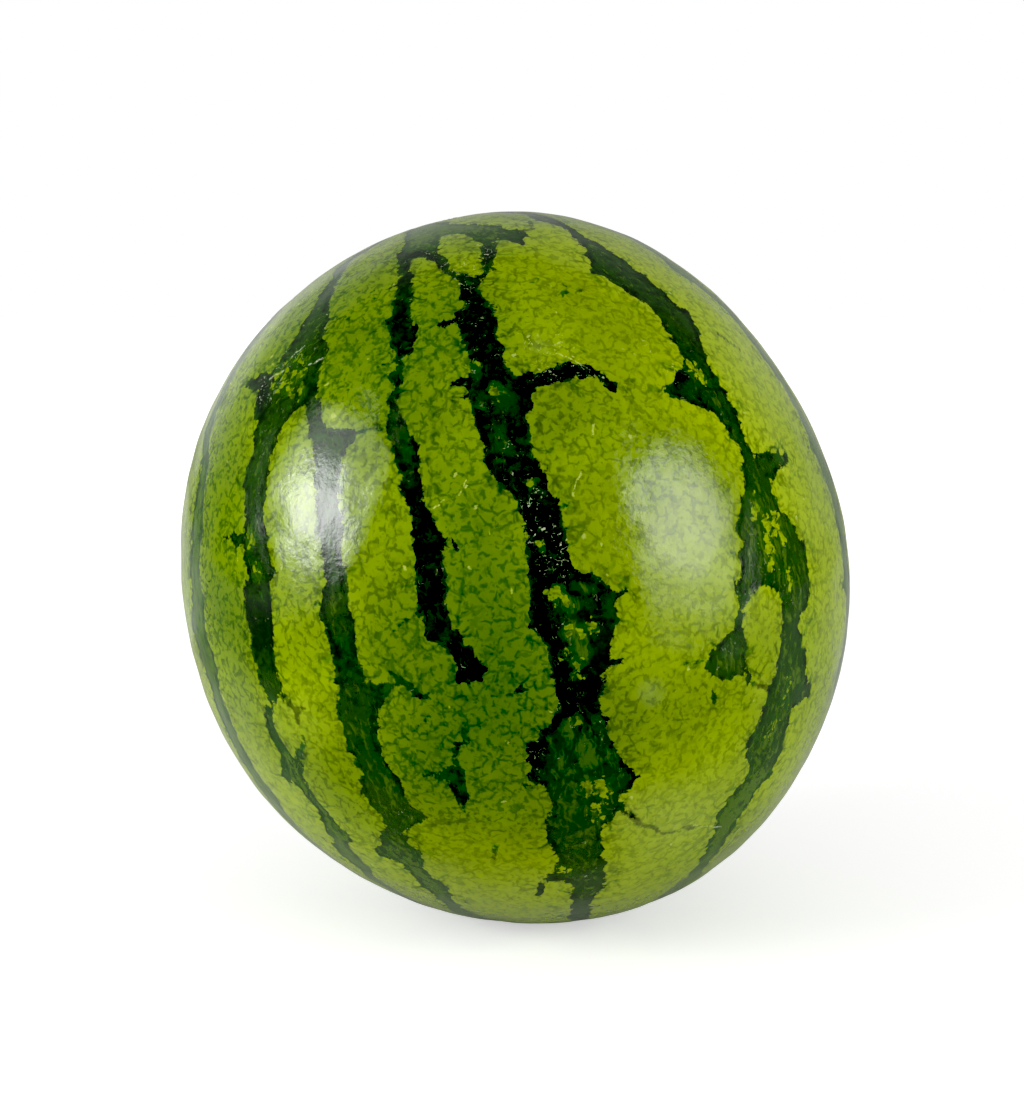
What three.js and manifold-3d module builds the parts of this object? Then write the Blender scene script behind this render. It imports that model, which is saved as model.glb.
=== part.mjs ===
// A small whole watermelon: one solid fruit that stands upright on a flat resting spot.
// Millimetres, +Z up. X = Y = 0 is the middle of the fruit's width and depth, and the resting
// spot lies in Z = 0. -Y is the fruit's front and +X its right, seen from the front.

import * as THREE from "three";
import { mergeVertices } from "three/addons/utils/BufferGeometryUtils.js";
import Module from "manifold-3d";

// Driving dimensions
const MEAN_RADIUS = 105;
const STRETCH = 0.05; // the body is this share of its radius longer than a ball
const BODY_LEAN = 18.5; // degrees, the long axis leans to the left
const STEM_LEAN = 11; // degrees, the line from blossom end to stem end leans to the left
const RESTING_DEPTH = 1.9; // what the fruit's own weight has flattened off its lowest point
const HEEL = { lean: 12, reach: 26, height: 1.8 }; // the underside is fuller left of straight down

// A fruit is never a true ball: shallow swells run around it. Each has a count of crests, a height
// as a share of the radius, and the angle of one crest, from the plane's own axis up towards +Z.
const SWELLS = [
  { across: "x", crests: 3, share: 0.0088, crestAt: 81.5 },
  { across: "x", crests: 5, share: 0.0052, crestAt: 78.2 },
  { across: "y", crests: 3, share: 0.006, crestAt: 15 },
];

// The stem end: a shallow dimple with a low corky button where the stem came away.
const DIMPLE = { reach: 10, depth: 0.6 };
const BUTTON = { reach: 4.5, height: 0.8 };

// The grid of the surface: meridians run from end to end, and rings crowd towards the two ends.
const MERIDIANS = 64;
const RINGS = 48;
const CROWDING = 0.6;

const FRUIT_GREEN = 0x6f8a12;
const MERGE_DISTANCE = 1e-4;

const wasm = await Module();
wasm.setup();

const stemAxis = leaningLeft(STEM_LEAN);
const longAxis = leaningLeft(BODY_LEAN);
const heelAxis = leaningLeft(HEEL.lean).multiply(new THREE.Vector3(1, 1, -1));

// The upright unit vector, turned to the left by some degrees.
function leaningLeft(degrees) {
  const angle = THREE.MathUtils.degToRad(degrees);
  return new THREE.Vector3(-Math.sin(angle), 0, Math.cos(angle));
}

// A smooth bump of height 1 that fades with the distance along the rind.
function bump(distance, reach) {
  return Math.exp(-((distance / reach) ** 2));
}

// Height of all the swells in one direction, as a share of the radius. The power of the distance
// from the plane's own normal lets each swell die away there without a crease.
function swell(direction) {
  return SWELLS.reduce((sum, { across, crests, share, crestAt }) => {
    const side = direction[across];
    const angle = Math.atan2(direction.z, side) - THREE.MathUtils.degToRad(crestAt);
    return sum + share * Math.cos(crests * angle) * Math.hypot(side, direction.z) ** crests;
  }, 0);
}

// Distance from the fruit's middle to its rind: a ball, drawn out along the long axis by the
// second Legendre polynomial, with its swells, the stem end's dimple and button, and the heel.
function rindRadius(direction) {
  const along = direction.dot(longAxis);
  const drawnOut = STRETCH * (1.5 * along * along - 0.5);
  const fromStem = MEAN_RADIUS * direction.angleTo(stemAxis);
  const fromHeel = MEAN_RADIUS * direction.angleTo(heelAxis);
  const stemEnd =
    BUTTON.height * bump(fromStem, BUTTON.reach) - DIMPLE.depth * bump(fromStem, DIMPLE.reach);
  const heel = HEEL.height * bump(fromHeel, HEEL.reach);
  return MEAN_RADIUS * (1 + drawnOut + swell(direction)) + stemEnd + heel;
}

// Half a circle of radius 1, from the blossom end to the stem end, with its points crowded at both.
function meridian() {
  return Array.from({ length: RINGS + 1 }, (_, ring) => {
    const t = ring / RINGS;
    const angle = Math.PI * t - 0.5 * CROWDING * Math.sin(2 * Math.PI * t);
    const onAxis = ring === 0 || ring === RINGS;
    return new THREE.Vector2(onAxis ? 0 : Math.sin(angle), -Math.cos(angle));
  });
}

// The whole rind as one closed surface, not yet flattened.
function rindGeometry() {
  const geometry = new THREE.LatheGeometry(meridian(), MERIDIANS);
  geometry.rotateX(Math.PI / 2);
  geometry.rotateY(-THREE.MathUtils.degToRad(STEM_LEAN));
  const points = geometry.getAttribute("position");
  const point = new THREE.Vector3();
  for (let i = 0; i < points.count; i++) {
    point.fromBufferAttribute(points, i).normalize();
    point.multiplyScalar(rindRadius(point));
    points.setXYZ(i, point.x, point.y, point.z);
  }
  return geometry;
}

// A closed geometry as a solid that can be cut.
function toSolid(geometry) {
  const bare = geometry.clone();
  bare.deleteAttribute("normal");
  bare.deleteAttribute("uv");
  const merged = mergeVertices(bare, MERGE_DISTANCE);
  return new wasm.Manifold(
    new wasm.Mesh({
      numProp: 3,
      vertProperties: merged.getAttribute("position").array,
      triVerts: new Uint32Array(merged.index.array),
    }),
  );
}

// A solid's surface as a geometry again.
function toGeometry(solid) {
  const { vertProperties, triVerts } = solid.getMesh();
  const geometry = new THREE.BufferGeometry();
  geometry.setAttribute("position", new THREE.BufferAttribute(vertProperties, 3));
  geometry.setIndex(new THREE.BufferAttribute(triVerts, 1));
  geometry.computeVertexNormals();
  return geometry;
}

// The fruit with its lowest part cut flat, moved so that the flat lies in Z = 0.
function watermelonGeometry() {
  const rind = rindGeometry();
  rind.computeBoundingBox();
  const lowest = rind.boundingBox.min.z;
  const side = 2 * MEAN_RADIUS;
  const ground = new THREE.BoxGeometry(side, side, side);
  ground.translate(0, 0, lowest + RESTING_DEPTH - side / 2);
  const geometry = toGeometry(toSolid(rind).subtract(toSolid(ground)));
  geometry.computeBoundingBox();
  const middle = geometry.boundingBox.getCenter(new THREE.Vector3());
  geometry.translate(-middle.x, -middle.y, -geometry.boundingBox.min.z);
  return geometry;
}

const watermelon = new THREE.Mesh(
  watermelonGeometry(),
  new THREE.MeshStandardMaterial({ color: FRUIT_GREEN, roughness: 0.35, metalness: 0 }),
);
watermelon.name = "watermelon";

const fruit = new THREE.Group();
fruit.add(watermelon);

export default fruit;
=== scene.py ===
# %% [markdown]
# # A small round watermelon
#
# This lesson makes one whole watermelon, in metres, standing on its own flat resting spot. The
# imported model already fixes its size and its place. What is made here is the look: a fine smooth
# surface, the dark stripes that run from the stem end to the blossom end, and the waxy skin.
#
# The first cell loads the fixed frame and keeps its box, which the finished fruit is fitted to.

# %% Load the frame
import math

import bpy
import numpy as np
from mathutils import Matrix, Vector


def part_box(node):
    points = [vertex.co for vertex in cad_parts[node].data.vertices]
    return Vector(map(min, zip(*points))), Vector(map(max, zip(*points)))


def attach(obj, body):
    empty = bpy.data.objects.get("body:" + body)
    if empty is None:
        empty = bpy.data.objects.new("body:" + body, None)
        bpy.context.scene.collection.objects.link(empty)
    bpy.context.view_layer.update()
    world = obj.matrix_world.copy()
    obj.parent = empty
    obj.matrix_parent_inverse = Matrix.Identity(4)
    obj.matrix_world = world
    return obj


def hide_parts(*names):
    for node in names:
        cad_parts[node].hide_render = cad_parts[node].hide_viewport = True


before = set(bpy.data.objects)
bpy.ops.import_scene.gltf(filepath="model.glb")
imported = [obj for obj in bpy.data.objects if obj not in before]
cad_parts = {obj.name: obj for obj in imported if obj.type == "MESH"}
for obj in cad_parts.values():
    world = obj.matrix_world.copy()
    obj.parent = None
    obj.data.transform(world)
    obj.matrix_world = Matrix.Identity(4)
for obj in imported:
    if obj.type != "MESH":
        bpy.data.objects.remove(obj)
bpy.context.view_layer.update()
FRUIT = "watermelon"
box_low, box_high = (np.array(corner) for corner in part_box(FRUIT))
print("the fruit's box in metres:", box_low.round(4), box_high.round(4))

# %% [markdown]
# ## Which way the fruit grows
#
# A melon grows between two ends: the stem end, where it hung on the vine, and the blossom end.
# Stripes, veins and streaks all follow the lines between them, as meridians do on a globe. So
# everything is worked out in the fruit's own globe: latitude 90 is the stem end, and longitude 0
# is the front. In the world's own axes every stripe would be a slanted curve, because the stem end
# leans a little to the left.

# %% The fruit's own globe
MM = 0.001
MEAN_RADIUS = 105.0  # millimetres
STEM_LEAN = 11.0  # degrees that the stem end leans to the left


def leaning_left(degrees):
    """The upright unit vector, turned to the left by some degrees: minus their sine to the right,
    and their cosine upwards."""
    angle = math.radians(degrees)
    return np.array([-math.sin(angle), 0.0, math.cos(angle)])


STEM = leaning_left(STEM_LEAN)
BACK = np.array([0.0, 1.0, 0.0])
RIGHT = np.cross(BACK, STEM)


def to_direction(latitude, longitude):
    """The unit vector at a latitude and longitude: height along the stem line is the sine of the
    latitude, and its cosine is shared between front and right by the longitude."""
    lat, lon = np.radians(latitude), np.radians(longitude)
    flat = np.cos(lat)
    parts = (np.sin(lat), flat * np.sin(lon), -flat * np.cos(lon))
    return sum(np.multiply.outer(part, axis) for part, axis in zip(parts, (STEM, RIGHT, BACK)))


def to_globe(directions):
    """The latitude and longitude of each unit vector, in degrees: the latitude's sine is the part
    along the stem line, and the longitude is the angle round that line from the front."""
    latitude = np.degrees(np.arcsin(np.clip(directions @ STEM, -1, 1)))
    longitude = np.degrees(np.arctan2(directions @ RIGHT, -(directions @ BACK)))
    return latitude, longitude


print("one degree along the rind is", round(math.radians(MEAN_RADIUS), 2), "mm")

# %% [markdown]
# ## A ball without pinched poles
#
# A UV sphere crowds its faces at two poles, where shading creases. A cube blown up to a ball has
# no poles: each of its six sides is a plain square grid, and the faces stay nearly even. The two
# sides round the stem end and the blossom end draw their grid lines in towards the middle, so
# that the small scars there get finer faces.

# %% Blow a cube up to a ball
STEPS = 128  # faces along each side of the cube
POLE_CROWDING = 0.45
MAP_MARGIN = 0.008  # share of a side's square in the bake that stays free along each border


def cube_ball(steps):
    """Unit vectors, faces and bake coordinates of a cube blown up to a ball. A point's place on its
    side of the cube, from -1 to 1, is turned into an angle of up to 45 degrees, whose tangent
    gives even spacing. On the sides of the two ends the place is first multiplied by
    1 - crowding x (1 - rim^2), where rim is the larger of its two parts. Points that two sides
    share are one point. The six squares of the bake lie in two rows of three."""
    grid = np.arange(steps + 1)
    step_u, step_v = np.meshgrid(grid, grid, indexing="ij")
    corners, squares, maps = [], [], []
    index = np.arange((steps + 1) ** 2).reshape(steps + 1, steps + 1)
    for side in range(6):
        axis, far = side % 3, side // 3
        place = np.zeros((steps + 1, steps + 1, 3), dtype=np.int64)
        place[..., axis] = far * steps
        place[..., (axis + 1) % 3] = step_u
        place[..., (axis + 2) % 3] = step_v
        corners.append(place.reshape(-1, 3))
        quads = np.stack([index[:-1, :-1], index[1:, :-1], index[1:, 1:], index[:-1, 1:]], axis=-1)
        quads = quads if far else quads[..., ::-1]
        squares.append(quads.reshape(-1, 4) + side * index.size)
        inset = MAP_MARGIN + (1 - 2 * MAP_MARGIN) * np.stack([step_u, step_v], axis=-1) / steps
        maps.append((inset + (axis, far)).reshape(-1, 2) / (3, 2))
    code = np.concatenate(corners) @ np.array([(steps + 1) ** 2, steps + 1, 1])
    _, first, shared = np.unique(code, return_index=True, return_inverse=True)
    on_cube = 2.0 * np.concatenate(corners)[first] / steps - 1.0
    rim = np.abs(on_cube[:, :2]).max(axis=1)
    on_cap = np.abs(on_cube[:, 2]) == 1.0
    draw_in = np.where(on_cap, 1.0 - POLE_CROWDING * (1.0 - rim**2), 1.0)
    on_cube[:, :2] *= draw_in[:, None]
    blown = np.tan(on_cube * math.pi / 4)
    blown /= np.linalg.norm(blown, axis=1, keepdims=True)
    faces = np.concatenate(squares)
    return blown @ np.stack([RIGHT, BACK, STEM]), shared.reshape(-1)[faces], np.concatenate(maps)[faces]


directions, faces, bake_places = cube_ball(STEPS)
latitude, longitude = to_globe(directions)
print(len(directions), "points and", len(faces), "four-sided faces")

# %% [markdown]
# ## Stripes as rows of two edges
#
# The stripes are what makes this fruit this one, so a noise texture alone won't do. Each stripe
# is a list of rows: latitude, then the longitudes of its left and right edge.
# Between the rows the edges run straight, and the finish adds the fine teeth later. A curve
# through fewer points would round off the notches that tell one stripe from another.
#
# Three stripes run side by side down the left. The middle one swells in its upper half.

# %% The stripes on the left
STRIPES = {
    "far_left": [
        (72, -92, -84), (60, -80, -73), (50, -74, -68), (38, -70, -66), (35, -69.8, -64.6),
        (30, -65.2, -60.8), (25, -64.6, -60), (20, -64.6, -58.8), (17.5, -64.8, -60),
        (12.5, -65.8, -60.2), (10, -65.4, -59), (7.5, -66.5, -59.2), (5, -68.5, -60), (0, -67, -58.8),
        (-2.5, -66.1, -58.5), (-5, -65, -59.8), (-10, -66.2, -60), (-15, -65.6, -60),
        (-20, -65.2, -59.8), (-25, -65.4, -58.5), (-30, -65.4, -60), (-35, -64.6, -60.2),
        (-45, -64, -60), (-60, -66, -60),
    ],
    "left": [
        (70, -58, -50), (67, -55, -46), (65, -50.5, -43), (62, -47, -41), (60, -46, -39.5),
        (57.5, -44.6, -37.7), (55, -44.2, -35.8), (52.5, -43.5, -33.5), (50, -43.5, -33),
        (47.5, -44.6, -30.8), (45.5, -46.5, -30.6), (42.5, -47.5, -30.4), (40.5, -48, -30.8),
        (38.5, -47, -31.5), (37.6, -46.5, -35.2), (36, -44.8, -36), (35, -45, -37.1),
        (32.5, -44.8, -38.5), (30, -44.8, -39), (27.7, -45.6, -39.4), (26.5, -45.8, -39.5),
        (25, -44.8, -39.6), (22.5, -44.4, -39.6), (20.5, -45, -39.4), (17.5, -45, -38.8),
        (15, -44.6, -37.9), (13.5, -44.5, -37.3), (12.5, -44.4, -38.1), (11, -45.2, -38.8),
        (7.5, -45.2, -39.2), (5, -45, -39.2), (2.5, -45.4, -39.8), (0.5, -46.5, -40.5),
        (-1, -45.4, -40.8), (-5, -45.2, -40), (-6, -45, -42.1), (-7.5, -45.4, -44),
        (-8.6, -46, -44.2), (-10, -47.2, -45.2), (-12.5, -48, -45.6), (-14, -48.2, -45.2),
        (-15.5, -47.3, -44.2), (-17.5, -47.9, -42.7), (-19.5, -49.2, -43.5), (-20.3, -50.2, -43.5),
        (-22.5, -46.9, -44), (-25, -46, -43.8), (-27.5, -45.8, -42.7), (-30, -47.3, -42.5),
        (-32.5, -48.3, -41.9), (-34, -48.8, -41.5), (-35, -50, -45), (-37.5, -51.5, -45.2),
        (-40, -51.9, -45.8), (-42.5, -50.4, -46.2), (-45, -53, -49), (-52, -54, -49),
        (-60, -56, -50),
    ],
    "left_inner": [
        (40, -34, -30.3), (37.5, -32.4, -29), (35, -31.8, -27.6), (33.5, -31, -26),
        (32.3, -30, -21.2), (31, -29.8, -21.3), (30, -29.6, -22.3), (27.5, -29, -23.5),
        (25, -28.5, -24), (20, -28.1, -24), (15, -27.9, -24.2), (10, -28.1, -24.2),
        (7.5, -29.4, -23.8), (5, -29.6, -24), (2.5, -29.2, -24.4), (0, -28.5, -24.6),
        (-2.5, -29.2, -24.4), (-4, -29.6, -24.2), (-5, -29.6, -22.9), (-6.5, -30, -22),
        (-7.5, -30.6, -22), (-9, -31, -23.7), (-12, -31, -24.2), (-13, -31.2, -25.2),
        (-15, -31.2, -25), (-17.5, -30.6, -24.6), (-20, -30.8, -24), (-22, -31.9, -23.8),
        (-23.5, -32.3, -23.8), (-25, -31.7, -23.8), (-27, -31.5, -23), (-28.5, -31.5, -21.3),
        (-30, -31.7, -24.6), (-32, -33.8, -28.3), (-34, -35, -28.5), (-35, -36.7, -27.3),
        (-36, -38.3, -27.5), (-37.5, -37.7, -28.1), (-38.5, -35.8, -28.5), (-40, -34.4, -29.2),
        (-42.5, -34.2, -29.6), (-45, -35.4, -28.5), (-47.5, -35.2, -28.8), (-50, -35.4, -30.2),
        (-52.5, -36.7, -31.7), (-55, -38, -32.3), (-57.5, -40, -33.5), (-62, -44, -33),
    ],
}
print(len(STRIPES), "stripes on the left")

# %% [markdown]
# ## Two stripes near the middle
#
# One stripe stops short a little below the fruit's waist. The one beside it is the most broken of
# all: it opens round a light middle and closes again, so its rows stand closest together.

# %% The stripes near the middle
STRIPES |= {
    "short": [
        (68, -21, -15.5), (65, -18, -13), (62, -16.4, -12.2), (60, -15.2, -11.6),
        (57.5, -15.2, -10.8), (55, -15.6, -10.8), (52.5, -15.6, -10.4), (50, -16.7, -10),
        (47.5, -15.2, -8.8), (46, -15, -8.7), (44.5, -14.2, -8.8), (43, -14, -11.2),
        (40, -14.6, -11.9), (37.5, -14.8, -12.9), (36, -14.8, -13.1), (33, -15.6, -12.3),
        (31, -15.4, -11.2), (30, -15, -10.2), (27.5, -14, -10.2), (25, -13.7, -10.4),
        (22.5, -13.5, -10.2), (20, -13.1, -10), (17.5, -12.7, -8.7), (15, -12.5, -7.7),
        (12.5, -12.7, -8.3), (10, -12.9, -8.7), (7.5, -13.3, -8.8), (5, -13.5, -9),
        (2.5, -12.9, -9), (0.5, -13, -8.1), (-0.6, -11.4, -7.6), (-1.5, -10.3, -7),
        (-3, -9.6, -6.5), (-5, -9.9, -6), (-6.4, -10, -6.2),
    ],
    "middle": [
        (56.6, 2.2, 6.6), (56, 1.2, 6.9), (55, 1.5, 6.5), (51.5, 1.3, 6.5), (50, 1, 6.7),
        (49, -0.8, 7.7), (48, -1.5, 8), (47, -1.9, 7.3), (46, -1, 7.5), (45, -0.2, 7.3),
        (42.5, 0.2, 7.3), (40, 0.4, 6.7), (38.5, 0, 7.3), (37.5, -0.4, 7.7), (36, -0.5, 9.5),
        (34, -0.6, 10), (33, -0.4, 9.8), (31, 0, 9.4), (30, 0, 8.3), (27, 0.2, 7.7), (24, 0.2, 7.9),
        (22.5, 0.6, 8.7), (21, 1.5, 9), (20, 2.3, 9), (18.5, 3.1, 9.2), (17, 3.8, 9.6), (13, 4.2, 9.8),
        (11, 3.7, 9.6), (8, 3.1, 10), (6.5, 3.1, 10.4), (5, 3.3, 13.5), (4, 3.1, 14), (3, 2.9, 14.6),
        (2, 2.3, 15.6), (0, 1.9, 15.2), (-1.5, 2.7, 14.9), (-3, 3.3, 13.9), (-6, 3.7, 13),
        (-7.5, 3.8, 12.7), (-9, 3.8, 11.5), (-11.5, 4.2, 10.6), (-13, 4, 10.6), (-15, 2.7, 10.4),
        (-16, 0.8, 11), (-17, -0.4, 10.8), (-18, -1.9, 10.8), (-20, -2.3, 11), (-22, -2.5, 11.9),
        (-24.5, -3.2, 13), (-25, -1.2, 13.3), (-27, -0.6, 14.6), (-28.5, -0.2, 14), (-30, -0.4, 11.9),
        (-33, -1.9, 11.3), (-34.5, -2.3, 9.2), (-36, -2.3, 8.3), (-38, -1.7, 7.7), (-40, -1.1, 7.9),
        (-42, -1.2, 7.8), (-44, -3.5, 8.1), (-46, -4.2, 8.3), (-47, -0.8, 8.3), (-50, 0.2, 8.3),
        (-52.5, -0.4, 7.1), (-54, -0.8, 6.2), (-57.5, -1.5, 4.2), (-60, -2.7, 4.6), (-65, -4.6, 3.8),
    ],
}
print("with the middle there are", len(STRIPES), "stripes")

# %% [markdown]
# ## The stripes on the right
#
# A stripe that forks can't be told by one left and one right edge, so its arm and its spur are
# short outlines of their own. They overlap the stripe, and the finish sees them as one.

# %% The stripes on the right
STRIPES |= {
    "right": [
        (75, 52, 60), (72.3, 47, 57), (70, 44.5, 54), (67.3, 45.6, 51.5), (65, 45.4, 50.2),
        (62.7, 44, 48.7), (60, 42.3, 48.1), (57.5, 39.6, 48.5), (55, 37.7, 47.9), (53.5, 35.4, 49.2),
        (52.5, 34.6, 48.9), (51.2, 37, 49), (48, 38.8, 49.2), (46.2, 39.8, 49.8), (45, 41, 49.8),
        (41.5, 41.7, 51.1), (40, 41.9, 51.2), (38.8, 41.3, 51.9), (37.3, 41.3, 50.2),
        (36.2, 41.2, 49.2), (35, 41, 48.3), (33.5, 41, 47.3), (32.3, 40, 46.9), (31.2, 37.5, 46.8),
        (30.5, 35, 46.6), (29.5, 33, 46.5), (28.5, 33.8, 46.4), (27.5, 34.6, 46.6), (26.7, 36.2, 46.9),
        (26, 38.5, 47), (24.3, 41.2, 46.9), (23, 42, 46.6), (20, 42.7, 46.4), (18, 43.3, 46.4),
        (16, 43.1, 46.8), (15, 42.8, 47.2), (13.5, 42.2, 48), (11.5, 41, 48.8), (10, 40, 48.1),
        (8.5, 39, 48.3), (7, 37.9, 48.7), (6, 37.4, 49.4), (4, 38.2, 50.8), (2.3, 36.8, 51.7),
        (0.8, 36.9, 52.7), (0, 36.7, 53.1), (-1.3, 35.3, 53), (-2.8, 35.1, 53.2), (-3.4, 40.5, 53.3),
        (-4.2, 43.1, 53.2), (-5, 43.9, 53.1), (-7, 44.4, 52.3), (-8.5, 44.4, 52.1), (-9.6, 44, 50.4),
        (-10.8, 43.7, 49.2), (-12.3, 43.5, 48.9), (-15.4, 42.7, 50), (-17, 42.7, 50.8),
        (-18.5, 41.2, 51), (-20, 40.4, 51.3), (-21.5, 40, 52.1), (-22.7, 39.5, 53.7),
        (-24.6, 38.9, 53.5), (-25.2, 38.5, 48), (-26.2, 37.5, 47.7), (-27.4, 36.3, 47.4),
        (-29.2, 36.7, 46.9), (-32, 37.7, 47), (-33.8, 38.4, 46.9), (-35.4, 36.9, 46.5),
        (-36.5, 35.4, 46.2), (-37.1, 33.7, 45.2), (-38.5, 33.8, 43.5), (-40, 32.7, 42.3),
        (-43.5, 32.7, 41), (-45, 33.5, 40.2), (-46.5, 33.5, 39.2), (-50, 33.5, 40), (-53.5, 33.8, 38.5),
        (-57.3, 34.2, 40.8), (-60, 31, 43), (-64, 29.5, 41),
    ],
    "right_arm": [
        (-2.2, 35.3, 40), (-3.4, 35.1, 38.2), (-5, 35, 36.3), (-6.5, 34.4, 35.8), (-8, 33.8, 35.6),
        (-9.2, 31.2, 35.4), (-10.4, 29, 35.4), (-11.3, 28.1, 35.6), (-12.7, 27.5, 35.4),
        (-14.2, 28.8, 35.2), (-15, 30, 35.4), (-15.8, 34.6, 35.8),
    ],
    "right_spur": [
        (16.2, 46, 47.5), (15.9, 46, 50.5), (15.2, 46, 54.5), (14.5, 46, 56), (13.5, 46, 56),
        (12.9, 46, 55.2), (12.5, 46, 50.5), (12, 46, 49.3),
    ],
    "far_right": [
        (72, 80, 88), (62, 72, 80), (55, 71, 78), (52, 68, 76), (50.5, 66, 76), (49, 66.5, 76),
        (45, 70.5, 76.5), (40, 71.5, 77), (35, 70.5, 76.5), (30, 69.6, 76), (25, 70.5, 76),
        (20, 71, 76.5), (16, 69.5, 76.5), (14, 68, 75.5), (12, 69, 76), (5, 70.2, 77), (0, 69.2, 76.5),
        (-5, 69.8, 75.5), (-8, 69, 75), (-9.8, 67.9, 75), (-12, 70, 75.5), (-18, 71, 76),
        (-22, 70, 76), (-26, 68, 75), (-30, 70, 75), (-40, 69.5, 75), (-60, 67, 74),
    ],
}
print("with the right there are", len(STRIPES), "outlines")

# %% [markdown]
# ## The dark cap and the islet
#
# Near the stem end the dark spreads into one broad cap with a pointed tooth. Lower down a small
# dark islet lies in the pale ground. They are broad enough for rows, so they are outlines too.

# %% The cap and the islet
STRIPES |= {
    "stem_cap": [
        (84, -60, -25), (80, -37, -2), (78, -32, 4), (76, -27, 9), (74, -24.5, 15), (72, -22, 22),
        (70.5, -20.5, 24.4), (69, -19.3, 25.5), (67.5, -18, 26.5), (66.6, -17, 31), (65.2, -16, 30),
    ],
    "cap_tooth": [
        (65.4, 13.5, 30), (64.6, 20.5, 28.5), (63, 22.7, 26), (62, 24, 25),
    ],
    "islet": [
        (-15.6, -12.6, -11.2), (-17, -13.8, -12.2), (-19, -14.2, -12.6), (-20.5, -15.8, -12.8),
        (-23, -15.6, -13), (-25, -15.4, -13), (-27, -15, -14.2),
    ],
}
print(len(STRIPES), "outlines in", sum(len(rows) for rows in STRIPES.values()), "rows")

# %% [markdown]
# ## The stripes round the back
#
# The same plant drew all its stripes, so those that face away may echo those in front: moved to
# another longitude, mirrored or turned end for end, and made wider or narrower. They stand a
# little over twenty degrees apart, which is what the front ones do on average. Random stripes
# would lack their swellings and notches.

# %% Echo the front stripes round the back
ECHOES = [  # name, the stripe it echoes, longitude, mirrored, end for end, times its width
    ("back_1", "left", 97, True, False, 0.9),
    ("back_2", "middle", 120, False, True, 0.8),
    ("back_3", "left_inner", 143, True, False, 1.1),
    ("back_4", "right", 166, False, True, 0.75),
    ("back_5", "left", 190, True, True, 1.0),
    ("back_6", "middle", 212, True, False, 0.85),
    ("back_7", "left_inner", 234, False, False, 1.2),
    ("back_8", "right", 256, True, False, 0.7),
    ("back_9", "far_left", 278, True, True, 0.9),
]


def middle_of(rows):
    """The longitude halfway between a stripe's outermost edges."""
    return (min(row[1] for row in rows) + max(row[2] for row in rows)) / 2


def echo(rows, to_longitude, mirrored, end_for_end, widen):
    """A stripe's rows moved to another longitude. Each row keeps its distance from the stripe's
    middle line, which changes sign in a mirrored copy, and its width is multiplied."""
    sign = -1 if mirrored else 1
    start = middle_of(rows)
    made = []
    for lat, west, east in rows:
        centre = to_longitude + sign * ((west + east) / 2 - start)
        half = widen * (east - west) / 2
        made.append((-lat if end_for_end else lat, centre - half, centre + half))
    return sorted(made, reverse=True)


for name, source, *changes in ECHOES:
    STRIPES[name] = echo(STRIPES[source], *changes)
print("with the back there are", len(STRIPES), "outlines")

# %% [markdown]
# ## Branches and veins
#
# Spurs, forks and single dark veins are too thin for rows. Each is a stroke, like one pull of a
# brush: points of latitude, longitude and half width in millimetres. The broader strokes are
# branches, and they join the stripes.

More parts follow.
